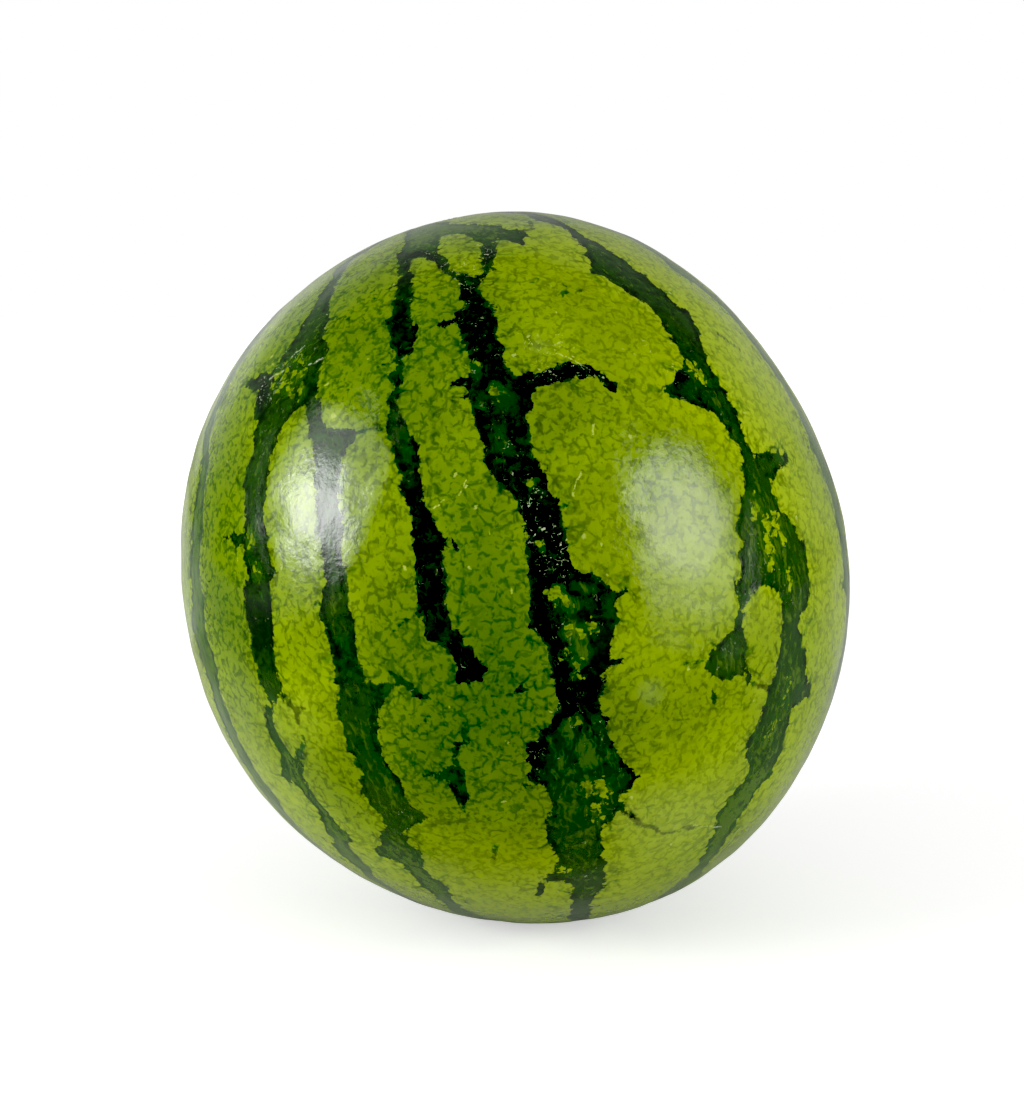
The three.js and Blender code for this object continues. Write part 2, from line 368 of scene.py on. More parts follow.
# %% The branches
BRANCHES = [
    [(43.4, -54.5, 1.2), (43.4, -50, 2.6), (43.4, -46.5, 3.2)],
    [(19, -51.7, 0.4), (18.6, -48, 1.6), (18.3, -44.5, 2.4)],
    [(-5.9, -22, 2.0), (-5.3, -20, 1.4), (-5, -18.7, 1.3), (-6.3, -17, 1.1), (-7.4, -16.4, 0.8)],
    [(-3.7, -41, 1.7), (-6.0, -40.6, 1.2)],
    [(-17.6, -43.4, 1.7), (-16.0, -42.2, 1.3)],
    [(57.6, -17.4, 0.3), (57.6, -14.5, 0.8)],
    [(42.3, -16.5, 0.3), (42.5, -14, 1.0)],
    [(4.5, -14.8, 0.5), (4.8, -13, 1.0)],
    [(-5, -5.5, 0.4), (-4.2, -6.8, 1.0)],
    [(14.8, -8.5, 1.2), (13, -6.2, 0.4)],
    [(65.5, -13, 2.2), (65.4, -8, 2.6), (62.5, -3.5, 1.5), (60.5, -1.7, 1.2), (59, -0.5, 1.3),
     (57.5, 1, 1.1), (56.4, 3, 1.6)],
    [(67.5, 13.6, 2.6), (64, 13, 2.2), (62, 12.3, 2), (60, 11, 1.6), (58, 9.9, 1.6), (56.5, 9, 1.7),
     (55.7, 6.5, 1.6)],
    [(47.3, -4.6, 0.3), (47.6, -1.5, 1.3)],
    [(48.5, 8.7, 0.3), (48.3, 7, 0.9)],
    [(37.2, -3.5, 0.3), (37, -0.5, 1.1)],
    [(34.4, -3.7, 0.3), (34.6, -0.5, 1.0)],
    [(34.6, 9, 2.8), (34.8, 12, 2.5), (35.2, 15.4, 2.4), (35.4, 18, 2.3), (35, 20, 2.0),
     (34.5, 21.5, 1.8), (33.2, 23, 1.7), (32, 23.8, 1.8), (31, 23.9, 0.9)],
    [(2, 16.9, 0.3), (1.8, 14.8, 1.0)],
    [(-7.9, 14.4, 0.3), (-7.4, 12.3, 1.0)],
    [(-24.6, -4, 0.3), (-24.2, -2.5, 1.0)],
    [(-27.3, 15.6, 0.3), (-27.1, 13.8, 1.1)],
    [(-46.2, -4, 1.4), (-47.3, -5.8, 1.2), (-48.8, -6.8, 1.0), (-50.2, -8.4, 0.8)],
    [(41.2, 53.2, 0.3), (40.6, 50.5, 1.0)],
    [(-15, 29, 0.9), (-18, 28.8, 0.5)],
    [(-15.4, 35.4, 1.0), (-17.3, 36.4, 0.8)],
    [(-12.2, -17.6, 0.8), (-11.4, -16, 0.5)],
    [(-9, -1.5, 0.9), (-9, -0.2, 1.0)],
    [(-20.4, -20, 1.0), (-20.6, -17.2, 1.3), (-20.9, -14.9, 1.8)],
    [(-9.3, -46.4, 1.0), (-7.5, -45.4, 1.4)],
    [(-31, 10.6, 1.6), (-33, 12.2, 1.3), (-35, 14.0, 1.1)],
]
print(len(BRANCHES), "branches")

# %% [markdown]
# ## Thin veins
#
# A vein is about a millimetre wide, and a stripe's coarse teeth would chop it up. So the veins are
# kept apart from the branches, and the finish gives them a steadier edge and a colour of their own.

# %% The veins
VEINS = [
    [(53.5, -35, 0.7), (53.2, -30, 0.45), (53.5, -28.5, 0.45), (51.5, -26, 0.25)],
    [(-5.6, -40.7, 1.0), (-7.0, -39.8, 0.9), (-8.3, -38.6, 0.8), (-10.3, -39.4, 0.6)],
    [(-8.4, -38.6, 0.7), (-7.8, -36.8, 0.4)],
    [(-16.2, -42.4, 1.0), (-14.6, -40.6, 0.8), (-13.8, -39.6, 0.7), (-12.4, -39.2, 0.5)],
    [(32.2, -21.2, 0.6), (32.3, -18, 0.3), (31.9, -15.5, 0.4)],
    [(8, -30.2, 0.3), (7.6, -29, 0.6)],
    [(-5, -19, 0.9), (-4.2, -19.2, 0.7), (-3.3, -19.8, 0.4)],
    [(-7.4, -16.4, 0.6), (-8, -14.6, 0.3)],
    [(58, -23.2, 0.35), (55.8, -21.5, 0.3)],
    [(39.2, -23.3, 0.3), (36.8, -22.8, 0.3)],
    [(57.6, -17, 0.35), (57.7, -20.4, 0.2)],
    [(4.5, -14.8, 0.4), (2.5, -18, 0.25)],
    [(-33.5, 12.6, 0.8), (-36.5, 15.2, 0.75), (-38.3, 17.9, 0.6), (-40.4, 20.5, 0.4),
     (-41.2, 28.8, 0.1)],
    [(-40.3, 24.5, 0.3), (-40.8, 26.5, 0.9), (-41.6, 27.8, 0.4)],
    [(-17.3, 36.4, 0.7), (-18.6, 38.8, 0.4), (-19.3, 40.6, 0.8)],
    [(-11.4, 28, 0.4), (-10.9, 25, 0.25), (-10.5, 22.5, 0)],
    [(-9.9, 30, 0.4), (-8, 28.6, 0.1), (-5.5, 28.2, 0)],
    [(-15.8, -10.7, 0.3), (-15.6, -12.3, 0.5), (-17, -13.1, 0.8)],
    [(-26, -14.8, 0.5), (-28, -14.8, 0.2)],
    [(-36, -12, 0.6), (-38.8, -13.5, 0.3)],
    [(16, 9.6, 0.6), (16.2, 12, 0.3)],
    [(50.6, 25.6, 0.35), (48.8, 24.6, 0.6), (48.3, 22, 0.3)],
    [(48.5, 26.8, 0.4), (49, 28.6, 0.3)],
    [(53.2, 17.6, 0.3), (52.5, 19, 0.45), (52.9, 20.5, 0.3)],
    [(36.2, 56, 0.6), (34.8, 57.6, 0.6), (32.6, 60, 0.4)],
    [(66.4, 30.5, 0.9), (66.6, 34, 0.5), (68.5, 37, 0.5), (70, 40, 0.4)],
    [(-10.8, -15.5, 0.3), (-11.6, -16.3, 0.4)],
]
print(len(VEINS), "veins")

# %% [markdown]
# ## Light islands
#
# Inside the broad stripes the pale ground shows through in ragged, streaky islands. A mask of
# noise would scatter them anywhere, so they are strokes too. One island, up by the stem end, is
# clean-edged. It has rows like a stripe, and is cut out of the dark.

# %% The islands
CLEAN_ISLAND = [
    (70.6, -1, 1), (70.2, -3.6, 3.8), (69.2, -3.7, 6.9), (67.3, -3.7, 10), (66, -2.6, 10.5),
    (64.6, -1.5, 10.8), (62.7, -1, 10.2),
]
ISLANDS = [
    [(45.4, -44.2, 0.7), (42.2, -43.4, 0.9)],
    [(46.6, -41.4, 0.6), (43.5, -41.2, 1.0), (40.6, -40.4, 0.8)],
    [(47.4, -38.8, 0.7), (43.5, -38.4, 1.2), (40.2, -37.4, 0.8)],
    [(46, -36.2, 0.8), (42.5, -35.8, 1.2), (39.6, -34.9, 0.6)],
    [(17.9, -43, 1.4)],
    [(13.5, -42, 1.2)],
    [(4.1, 6.0, 1.8), (3.2, 7.4, 1.6), (1.8, 8.3, 1.5)],
    [(-1.5, 7.4, 1.2), (-3, 9, 1.3)],
    [(-2, 11, 1.3)],
    [(-5.5, 7, 1.6), (-8.5, 7.6, 1.4)],
    [(-15.6, 6.4, 1.1)],
    [(-27.2, 6.8, 2.6), (-27.8, 8.4, 2.8)],
    [(-31.2, 7.4, 1.5), (-33.2, 7.6, 1.0)],
    [(-43.6, -1.8, 1.5), (-44.6, 0.6, 1.6)],
    [(20, 6.5, 1.1)],
    [(11, 6, 1.0)],
    [(39, 2, 1.1)],
    [(34.5, 4, 1.4)],
    [(32, 1.5, 0.9)],
    [(32.3, 41.9, 1.5), (29.6, 42.8, 1.1)],
    [(9.8, 42.6, 1.3), (7.2, 42.9, 1.7)],
    [(6.8, 44.5, 1.7), (3.8, 44, 1.7), (0, 43.2, 1.8)],
    [(6.2, 46.6, 1.8), (2.4, 46.8, 1.9)],
    [(3.4, 42, 1.2)],
    [(-2.4, 47, 1.4), (-4.6, 47.4, 1.3)],
    [(-19.4, 46, 0.9), (-23.4, 45.8, 0.8)],
    [(-25.4, 43.8, 0.7), (-28.4, 42.2, 0.8)],
    [(14.3, 53, 1.6)],
]
print(len(ISLANDS), "streaky islands")

# %% [markdown]
# ## From outlines to a distance
#
# Painting stripes as colours on the points would blur them, because the points are more than a
# millimetre apart. A signed distance does better: every point keeps how far it is from the nearest
# stripe edge, in millimetres, less than nothing inside a stripe. A distance changes evenly, so it
# stays exact between the points, and the finish can draw the sharp edge where it crosses nought.

# %% Distance along the rind and to a segment
NO_LENGTH = 1e-12


def along_rind(degrees):
    """Degrees of the fruit's globe as millimetres along its rind: the angle x the mean radius."""
    return MEAN_RADIUS * np.radians(degrees)


def to_segment(points, start, end):
    """How far each point is from a straight segment, and the share of the way along it of the
    nearest place: the point's offset from the start, projected on the segment and held to it."""
    run = end - start
    share = np.clip((points - start) @ run / max(run @ run, NO_LENGTH), 0, 1)
    return np.linalg.norm(points - start - share[:, None] * run, axis=1), share


print("from the front to the back along the rind is", round(float(along_rind(180))), "mm")

# %% [markdown]
# ## Inside or outside a stripe
#
# On the flat, the distance to an outline is the distance to the nearest of its straight sides. So
# the globe is unrolled round each stripe, like a peel. Measuring on the round rind instead would
# be slower and hardly more exact, as a stripe is narrow.

# %% Distance to an outline of rows
FAR = 30.0  # millimetres, further than the finish ever looks


def outline_distance(rows, lat, lon):
    """Signed distance in millimetres to a closed outline of rows, less than nothing inside. The
    globe is unrolled round the stripe's middle line: down is the latitude, and across is the
    longitude shortened by the cosine of the latitude."""
    row_lat, west, east = np.array(rows, dtype=float).T
    middle = middle_of(rows)
    off = (lon - middle + 180) % 360 - 180

    def unroll(turn, height):
        """A place on the unrolled globe: turn x the cosine of the height, and the height."""
        across = along_rind(turn) * np.cos(np.radians(height))
        return np.stack([across, along_rind(height)], axis=-1)

    border = np.concatenate([unroll(west - middle, row_lat), unroll(east - middle, row_lat)[::-1]])
    points = unroll(off, lat)
    low, high = border.min(axis=0) - FAR, border.max(axis=0) + FAR
    near = np.all((points > low) & (points < high), axis=1)
    nearest = np.full(near.sum(), FAR)
    for start, end in zip(border, np.roll(border, -1, axis=0)):
        nearest = np.minimum(nearest, to_segment(points[near], start, end)[0])
    west_here = np.interp(lat[near], row_lat[::-1], west[::-1]) - middle
    east_here = np.interp(lat[near], row_lat[::-1], east[::-1]) - middle
    in_rows = (lat[near] < row_lat[0]) & (lat[near] > row_lat[-1])
    inside = in_rows & (off[near] > west_here) & (off[near] < east_here)
    distance = np.full(len(lat), FAR)
    distance[near] = np.where(inside, -nearest, nearest)
    return distance


by_stripe = {name: outline_distance(rows, latitude, longitude) for name, rows in STRIPES.items()}
print("the deepest point of a stripe is", -min(d.min() for d in by_stripe.values()).round(1), "mm in")

# %% [markdown]
# ## Inside or outside a stroke
#
# A stroke has a line and a width, so its distance is simpler: how far it is to the line, less half
# the width there. Strokes can cross the two ends of the fruit, so they are measured in space.

# %% Distance to the strokes
def stroke_distance(strokes, points):
    """Signed distance in millimetres to the nearest stroke: the distance to its line, less the
    half width, which changes evenly from point to point of the stroke."""
    nearest = np.full(len(points), FAR)
    for stroke in strokes:
        lat, lon, half = np.array(stroke + stroke[-1:], dtype=float).T
        line = MEAN_RADIUS * to_direction(lat, lon)
        near = np.linalg.norm(points - line.mean(axis=0), axis=1) < FAR + 2 * np.ptp(line, axis=0).max()
        for k in range(len(stroke)):
            away, share = to_segment(points[near], line[k], line[k + 1])
            width = half[k] + share * (half[k + 1] - half[k])
            nearest[near] = np.minimum(nearest[near], away - width)
    return nearest


ball = MEAN_RADIUS * directions
vein = stroke_distance(VEINS, ball)
island = stroke_distance(ISLANDS, ball)
print(int((vein < 0).sum()), "points lie in a vein and", int((island < 0).sum()), "in an island")

# %% [markdown]
# ## Running out at both ends
#
# Nearly every stripe starts at the stem end and runs out at the blossom end, however far its rows
# go. So a tapering stroke carries each of those on from its outermost rows to near both ends.
# Rows all the way would crowd together there. The few outlines that stop sooner are listed.

# %% Work the distances out
END_LATITUDE = 84.0
END_HALF_WIDTH = 1.3  # millimetres, where a stripe meets the others at an end
RUN_OUT_POINTS = 5
NOT_TO_BLOSSOM = {"short", "right_arm", "right_spur", "stem_cap", "cap_tooth", "islet"}
NOT_TO_STEM = NOT_TO_BLOSSOM | {"left_inner", "middle"}


def run_out(row, to_latitude):
    """A stroke from a stripe's last row to near an end of the fruit. Its half width in millimetres
    starts as the row's own and shrinks evenly."""
    lat, west, east = row
    half = along_rind((east - west) / 2) * math.cos(math.radians(lat))
    share = np.linspace(0, 1, RUN_OUT_POINTS)
    lats = lat + share * (to_latitude - lat)
    widths = half + share * (END_HALF_WIDTH - half)
    return [(a, (west + east) / 2, w) for a, w in zip(lats, widths)]


ends = [run_out(STRIPES[name][0], END_LATITUDE) for name in STRIPES if name not in NOT_TO_STEM]
ends += [run_out(STRIPES[name][-1], -END_LATITUDE) for name in STRIPES if name not in NOT_TO_BLOSSOM]
edge = np.minimum.reduce([*by_stripe.values(), stroke_distance(BRANCHES + ends, ball)])
edge = np.maximum(edge, -outline_distance(CLEAN_ISLAND, latitude, longitude))
print("share of the rind in stripes:", round(float((edge < 0).mean()), 3))

# %% [markdown]
# ## How green a stripe is
#
# A stripe isn't one black. Some are bottle green, and most turn greener towards the blossom end.
# Each stripe has a list of latitudes with the tint there: 0 is black, 1 is green, and the higher
# it is, the more olive streaks there are. A colour ramp over the whole fruit would give every
# stripe the same tint.

# %% The tints
TINTS = {
    "far_left": [(60, 1.1), (0, 1.4), (-40, 1.7)],
    "left": [(68, 0.7), (50, 0.5), (43, 0.3), (38, 0.4), (30, 0.6), (12, 0.35), (4, 0.05),
             (-1, 0.35), (-5, 0.9), (-14, 1.0), (-24, 1.3), (-40, 1.6)],
    "left_inner": [(40, 0.5), (4, 0.45), (-2, 0.3), (-12, 0.6), (-30, 0.8), (-40, 1.3), (-50, 1.7)],
    "short": [(66, 0.4), (60, 0.1), (47, 0.05), (42, 0.4), (28, 0.45), (22, 0.15), (10, 0.1), (-6, 0.15)],
    "middle": [(57, 0.0), (50, 0.05), (38, 0.12), (34, 0.28), (23, 0.2), (18, 0.05), (5, 0.05), (2, 0.3),
               (-14, 0.35), (-18, 0.5), (-26, 0.55), (-32, 0.6), (-50, 0.75)],
    "right": [(72, 0.75), (60, 0.6), (50, 0.4), (30, 0.35), (20, 0.5), (10, 0.8), (-10, 0.7),
              (-24, 0.7), (-32, 1.0), (-40, 1.7)],
    "right_arm": [(0, 0.9), (-8, 0.8), (-15, 0.8)],
    # The rim stripe far_right is tinted light, which partly paints the pale haze that the wax mirrors at
    # the rim.
    "far_right": [(60, 1.5), (-40, 1.3)],
    "stem_cap": [(80, 1.5), (72, 1.3), (66, 0.8)],
    "islet": [(-17, 0.8), (-26, 0.6)],
}
PLAIN_TINT = [(40, 0.5), (-40, 0.75)]  # of every other stripe
print(len(TINTS), "outlines have a tint of their own")

# %% [markdown]
# ## Black limbs and green lumps
#
# Where a stripe opens round a light middle, its two limbs stay black, and small leafy lumps lie
# between them. A few green fringes line the black. They are too small for the lists of tints, so
# they are strokes again.

# %% Limbs, lumps and fringes
BLACK_LIMBS = [
    [(9, 5.2, 3.0), (6.8, 4.4, 3.0), (4.2, 4.2, 2.6), (1.7, 3.6, 2.4), (-1.1, 4.3, 2.4), (-4, 5.0, 2.4),
     (-6.8, 5.2, 2.2), (-9.5, 5.1, 2.2), (-12.4, 5.0, 2.2), (-15, 3.6, 1.6)],
    [(5.4, 8, 2.0), (4.4, 11, 1.6), (2.6, 12.4, 1.0)],
    [(0.5, 11.5, 1.8), (-3, 12.4, 2.6), (-6.4, 11.6, 3.2), (-7.8, 10.9, 2.8), (-9.9, 9.5, 2.4),
     (-12.5, 8.6, 2.0), (-15.5, 8.4, 1.2)],
    [(-18, -0.6, 1.8), (-21, -0.8, 1.6)],
    [(34.8, 10, 3), (35.4, 18, 3), (33.2, 23, 2.6), (31, 24, 2)],
    [(66, -12, 2.5), (62.5, -3.5, 2.2), (59, -0.5, 2), (56.4, 3, 2.2)],
    [(63, 12.6, 2), (60, 11, 2.2), (55.7, 6.5, 2.2)],
    [(41.6, -47.4, 2.2), (39.4, -46.4, 3.0), (37.6, -44.6, 2.6)],
    [(31, 38, 2.2), (29.5, 35.2, 1.4)],
]
LEAFY_LUMPS = [
    [(40, 0.5, 1.0), (37.5, 1, 1.3)],
    [(35, 4.5, 1.5), (32.5, 5, 1.3)],
    [(28.5, 3.2, 1.0), (25.5, 4.2, 1.1)],
    [(-15.4, 4.2, 1.4), (-18.6, 4.6, 1.6)],
    [(-18.8, 6.6, 1.6), (-22.8, 7.4, 2.6)],
    [(-20.8, 2.8, 1.4), (-23.6, 2.6, 1.2)],
    [(-28, 2.4, 1.2), (-31, 3.2, 1.6)],
    [(-35.2, 5.4, 1.4), (-38, 5.6, 1.0)],
    [(-1.8, 8.6, 1.6), (-5.6, 8.8, 1.8)],
    [(4.6, 7.2, 1.4), (2.2, 8.2, 1.8)],
]
GREEN_FRINGES = [
    [(9, 2.6, 0.8), (7, 2.4, 1.2), (4.5, 2.4, 1.2), (2.6, 2.0, 0.8)],
    [(2.4, 14.6, 1.0), (-1, 14.6, 1.4)],
    [(-11, 10.8, 0.8), (-14, 10.6, 1.0)],
    [(-16, 9.4, 1.6), (-24, 11.4, 2.2)],
    [(4.6, 9.4, 0.8), (3.4, 12, 1.0)],
]
print(len(BLACK_LIMBS), "limbs,", len(LEAFY_LUMPS), "lumps and", len(GREEN_FRINGES), "fringes")

# %% [markdown]
# ## A tint for every point
#
# Each point takes the tint of its nearest stripe at its own latitude. A tint changes slowly from
# point to point, so unlike an edge it can be kept on the points without looking blurred.

# %% Tint every point
FADE = 2.5  # millimetres over which a limb, a lump or a fringe fades out
LUMP_TINT = 0.6  # added in a leafy lump


def inside(strokes):
    """0.5 less the distance to the strokes over the fade, held between 0 outside and 1 inside."""
    return np.clip(0.5 - stroke_distance(strokes, ball) / FADE, 0, 1)


names = list(by_stripe)
stripe_tints = []
for name in names:
    at_latitudes, tints = np.array(TINTS.get(name, PLAIN_TINT)).T
    stripe_tints.append(np.interp(latitude, at_latitudes[::-1], tints[::-1]))
nearest_stripe = np.argmin(np.stack([by_stripe[name] for name in names]), axis=0)
tint = np.take_along_axis(np.stack(stripe_tints), nearest_stripe[None], axis=0)[0]
tint *= 1 - inside(BLACK_LIMBS)
tint = np.maximum(tint, inside(GREEN_FRINGES))
tint += LUMP_TINT * inside(LEAFY_LUMPS)
print("tint runs from", tint.min().round(2), "to", tint.max().round(2))

# %% [markdown]
# ## Greener and paler ground
#
# The ground between the stripes isn't one yellow-green either. It is deeper and greener in the
# lower middle and here and there beside a stripe, and paler on the right and low down. Those
# patches are partly the rind's own colour and partly painted light and shade: the greener ones
# also darken the left side as painted shade, and the paler ones lighten the right side and the
# bottom as painted light. A big noise would put such patches anywhere. Here each is listed, as a
# latitude, a longitude, a reach in degrees and a strength.

# %% Greener patches, partly painted shade
# Greener patches: partly the rind's deeper green, partly painted shade on the left side.
GREENER_AND_SHADED_PATCHES = [
    (13, -4, 8, 0.6), (4, -7, 8, 0.25), (-1, -18, 7, 0.25), (29, -54, 8, 0.4), (56, -25, 9, 0.35),
    (-17, 16, 6, 0.25), (-2, -16, 9, 0.45), (8, -1, 5, 0.2), (-2, -3, 7, 0.55), (-10, -9, 7, 0.65),
    (-11, -2, 6, 0.7), (-19, -7, 7, 0.5), (-20, -16, 7, 0.55), (-28, -10, 6, 0.35),
    (-29, -3, 5, 0.35), (28, -5, 8, 0.25), (47, -9, 12, 0.2), (-2, -50, 11, 0.35),
    (20, -51, 11, 0.45), (-25, -42, 12, 0.3), (45, -25, 12, 0.2), (44, -13, 9, 0.3),
    (41, 5, 7, 0.3), (38, -24, 9, 0.3), (50, -1, 7, 0.45), (33, -13, 5, 0.2), (50, -42, 8, 0.35),
    (43, -54, 7, 0.35), (-8, -23, 4, 0.2), (-6, 0.5, 5, 0.5), (5, -1, 5, 0.3), (7, -51, 6, 0.4),
    (56, -48, 7, 0.35), (20, 24, 6, 0.3), (14.5, 24.5, 2.2, 0.4), (29, 15, 6, 0.25),
    (-25, 26, 8, 0.25), (10, -52, 6, 0.3), (-15, -19, 5, 0.5), (-22, -20, 6, 0.35),
    (-23, 15, 8, 0.25), (21, -3, 6, 0.2), (0, -3, 5, 0.25), (10, 110, 20, 0.4),
    (-20, 160, 18, 0.5), (25, 215, 18, 0.4),
]
print(len(GREENER_AND_SHADED_PATCHES), "greener patches")

# %% [markdown]
# ## Paler patches, and bloom with painted sheen
#
# The paler patches are of the same kind: partly paler rind, and partly painted light. The bloom, a
# whitish waxy dust that rubs off, lies in patches of its own, which also paint the pale sheen that
# the wax mirrors near the rims and low on the sides. Later one value holds the ground's patches
# with their painted light and shade: above nought it is greener, and below nought it is paler.

# %% Paler patches, and bloom with painted sheen
# Paler patches: partly paler rind, partly painted light on the right side and low down.
PALER_AND_LIT_PATCHES = [
    (36, 28, 12, 0.4), (52, 18, 10, 0.1), (28, 62, 14, 0.9), (4, 56, 9, 0.8), (17.6, 49.4, 5, 0.7),
    (-30, 20, 11, 0.5), (-32, 34, 14, 0.5), (0, 25, 11, 0.55), (16, 18, 8, 0.2), (-31, 16, 9, 0.4),
    (-6, 60, 14, 0.3), (-44, -12, 10, 0.3), (34.8, -25, 2, 0.6), (-18.8, 39, 1.6, 0.8),
    (-40, 14, 9, 0.5), (16, 46, 4, 0.5), (30, 130, 20, 0.5), (-10, 200, 22, 0.5),
    (-24, -63, 12, 1.3), (-6, -70, 8, 0.6), (-42, -46, 10, 1.2), (-10, 68, 11, 0.8),
    (-38, 52, 10, 0.8), (-9, -39, 7, 0.8), (-46, 14, 9, 0.5), (-32, -50, 8, 0.6), (52, 50, 9, 1.8),
    (62, 38, 7, 0.8), (38, 60, 9, 0.8), (27, 43, 7, 2.0), (14, 48, 7, 0.9), (-3, 42, 6, 0.9),
    (-49, -26, 9, 1.3), (-54, -6, 10, 2.3), (-58, 15, 9, 1.6), (-42, -38, 7, 0.8),
    (20, 47, 5, 0.9), (12, 50, 6, 0.6), (-24, -49, 6, 0.6), (45, 46, 6, 0.5),
]
# Bloom, which also paints the sheen that the wax mirrors near the rims and low on the sides.
BLOOM_AND_SHEEN_PATCHES = [
    (-34, 16, 7, 0.12), (-40, 26, 8, 0.16), (-6, -53, 6, 0.12), (-22, -52, 9, 0.10), (40, 14, 3, 0.15),
    (28, 62, 8, 0.12), (75, 10, 8, 0.2), (-14, 18, 2.5, 0.2),
]


def soft_patches(patches):
    """Round patches: each fades as exp(-(distance / reach)^2), with its reach in degrees. Where
    they overlap, the sum levels off towards 1 as 1 - exp(-sum)."""
    total = np.zeros(len(directions))
    for lat, lon, reach, strength in patches:
        away = np.degrees(np.arccos(np.clip(directions @ to_direction(lat, lon), -1, 1)))
        total += strength * np.exp(-((away / reach) ** 2))
    return 1 - np.exp(-total)


# Greener minus paler: above nought partly painted shade, below nought partly painted light.
tone_and_painted_light = soft_patches(GREENER_AND_SHADED_PATCHES) - soft_patches(PALER_AND_LIT_PATCHES)
# The bloom patches: partly real bloom, partly painted sheen.
bloom_and_sheen = soft_patches(BLOOM_AND_SHEEN_PATCHES)
print("shade runs from", tone_and_painted_light.min().round(2), "to", tone_and_painted_light.max().round(2))

# %% [markdown]
# ## Scuffs and painted glints
#
# A fruit gets scuffed where it bulges and where it lay against others. The flecks come small and
# whitish in loose swarms, plainest on the dark, and are partly scuffs and partly painted glints of
# light on the wax. Modelling every fleck would take far too many faces, so only the places of the
# swarms are kept, as patches again.

# %% Swarms of scuffs and painted glints
# Swarms of whitish flecks: partly scuffs, partly painted glints.
SCUFF_AND_GLINT_PATCHES = [
    (59, 4, 2.5, 1.0), (55, 4, 2, 0.9), (47, 2, 3, 0.5), (41, 3, 3, 0.3), (36.6, 19.5, 1.6, 2.0),
    (35.8, 21.6, 1.4, 2.0), (35.6, 14, 2, 0.8), (41, 13, 3, 0.9), (40, 17, 3, 0.9), (33, 1, 3, 0.4),
    (25, 4, 3, 0.4), (17.5, 6, 2.5, 1.3), (12, 7, 3, 1.2), (8, 8, 2.5, 0.8), (-1, 5, 3, 0.3),
    (-13.5, 5, 1.8, 1.0), (-15, 10, 2, 0.6), (41, -45, 3, 1.0), (46, -40, 3, 0.6), (37.5, 31.5, 1.6, 2.0),
    (36, 34, 2, 0.8), (31.5, 37, 1.6, 1.6), (-10.5, 32.5, 2, 0.7), (64.5, -8, 2, 0.8), (60, -1.5, 2, 0.8),
    (61, 11, 2.5, 1.0), (10, -11, 4, 0.3), (0, -10, 3, 0.4), (-5, -8, 2.5, 0.4), (-20, -1, 2.5, 0.6),
    (-45, 3, 5, 0.3), (-30, -26, 4, 0.4), (-45, -32, 5, 0.3), (-20, 8, 3, 0.3), (1, 43, 4, 0.4),
    (-5, 46, 3, 0.3), (19, -2, 5, 0.35), (-14, 14, 3, 0.4), (-35, 23, 5, 0.35), (20, 120, 9, 0.4),
    (-10, 145, 8, 0.4), (30, 190, 9, 0.4), (0, 235, 9, 0.4), (-30, 100, 8, 0.4), (45, 260, 8, 0.4),
]
scuff_and_glint = soft_patches(SCUFF_AND_GLINT_PATCHES)
print(len(SCUFF_AND_GLINT_PATCHES), "swarms of scuffs")

# %% [markdown]
# ## The body of the fruit
#
# The radius is one formula of the direction: a ball, drawn out a little along the body's own
# axis, with a few shallow swells, a fuller heel underneath, and the dimple and corky button of
# the stem end. Sculpting would do too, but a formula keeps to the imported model's shape.

# %% The smooth body
BODY_LEAN = 18.5  # degrees that the long axis leans to the left
STRETCH = 0.05  # share of the radius
SWELLS = [
    {"across": 0, "crests": 3, "share": 0.0088, "crest_at": 81.5},
    {"across": 0, "crests": 5, "share": 0.0052, "crest_at": 78.2},
    {"across": 1, "crests": 3, "share": 0.006, "crest_at": 15},
]
HEEL_LEAN = 12.0  # degrees from straight down, to the left
HEEL_REACH, HEEL_HEIGHT = 26.0, 1.8  # millimetres, as all the reaches, depths and heights are
DIMPLE_REACH, DIMPLE_DEPTH = 10.0, 0.6
BUTTON_REACH, BUTTON_HEIGHT = 4.5, 0.8


def bump(distance, reach):
    """A smooth bump of height 1 that fades along the rind, as exp(-(distance / reach)^2)."""
    return np.exp(-((distance / reach) ** 2))


def swell(toward):
    """Height of the swells as a share of the radius: a cosine round one axis for each, faded away
    at the poles of that axis by a power of the distance from it."""
    total = 0.0
    for one in SWELLS:
        side = toward[:, one["across"]]
        angle = np.arctan2(toward[:, 2], side) - math.radians(one["crest_at"])
        fade = np.hypot(side, toward[:, 2]) ** one["crests"]
        total = total + one["share"] * np.cos(one["crests"] * angle) * fade
    return total


def rind_radius(toward):
    """Distance from the fruit's middle to its rind, in millimetres: the mean radius, drawn out by
    the stretch x (1.5 x c^2 - 0.5), where c is the cosine of the angle to the long axis, with its
    swells, and then the button, the dimple and the heel, each a height times a bump."""
    along = toward @ leaning_left(BODY_LEAN)
    drawn_out = STRETCH * (1.5 * along**2 - 0.5)
    from_stem = along_rind(90 - to_globe(toward)[0])
    heel_way = leaning_left(HEEL_LEAN) * (1, 1, -1)
    from_heel = MEAN_RADIUS * np.arccos(np.clip(toward @ heel_way, -1, 1))
    stem_end = BUTTON_HEIGHT * bump(from_stem, BUTTON_REACH) - DIMPLE_DEPTH * bump(from_stem, DIMPLE_REACH)
    heel = HEEL_HEIGHT * bump(from_heel, HEEL_REACH)
    return MEAN_RADIUS * (1 + drawn_out + swell(toward)) + stem_end + heel


radius = rind_radius(directions)
print("the smooth body's radius is", radius.min().round(1), "to", radius.max().round(1), "mm")

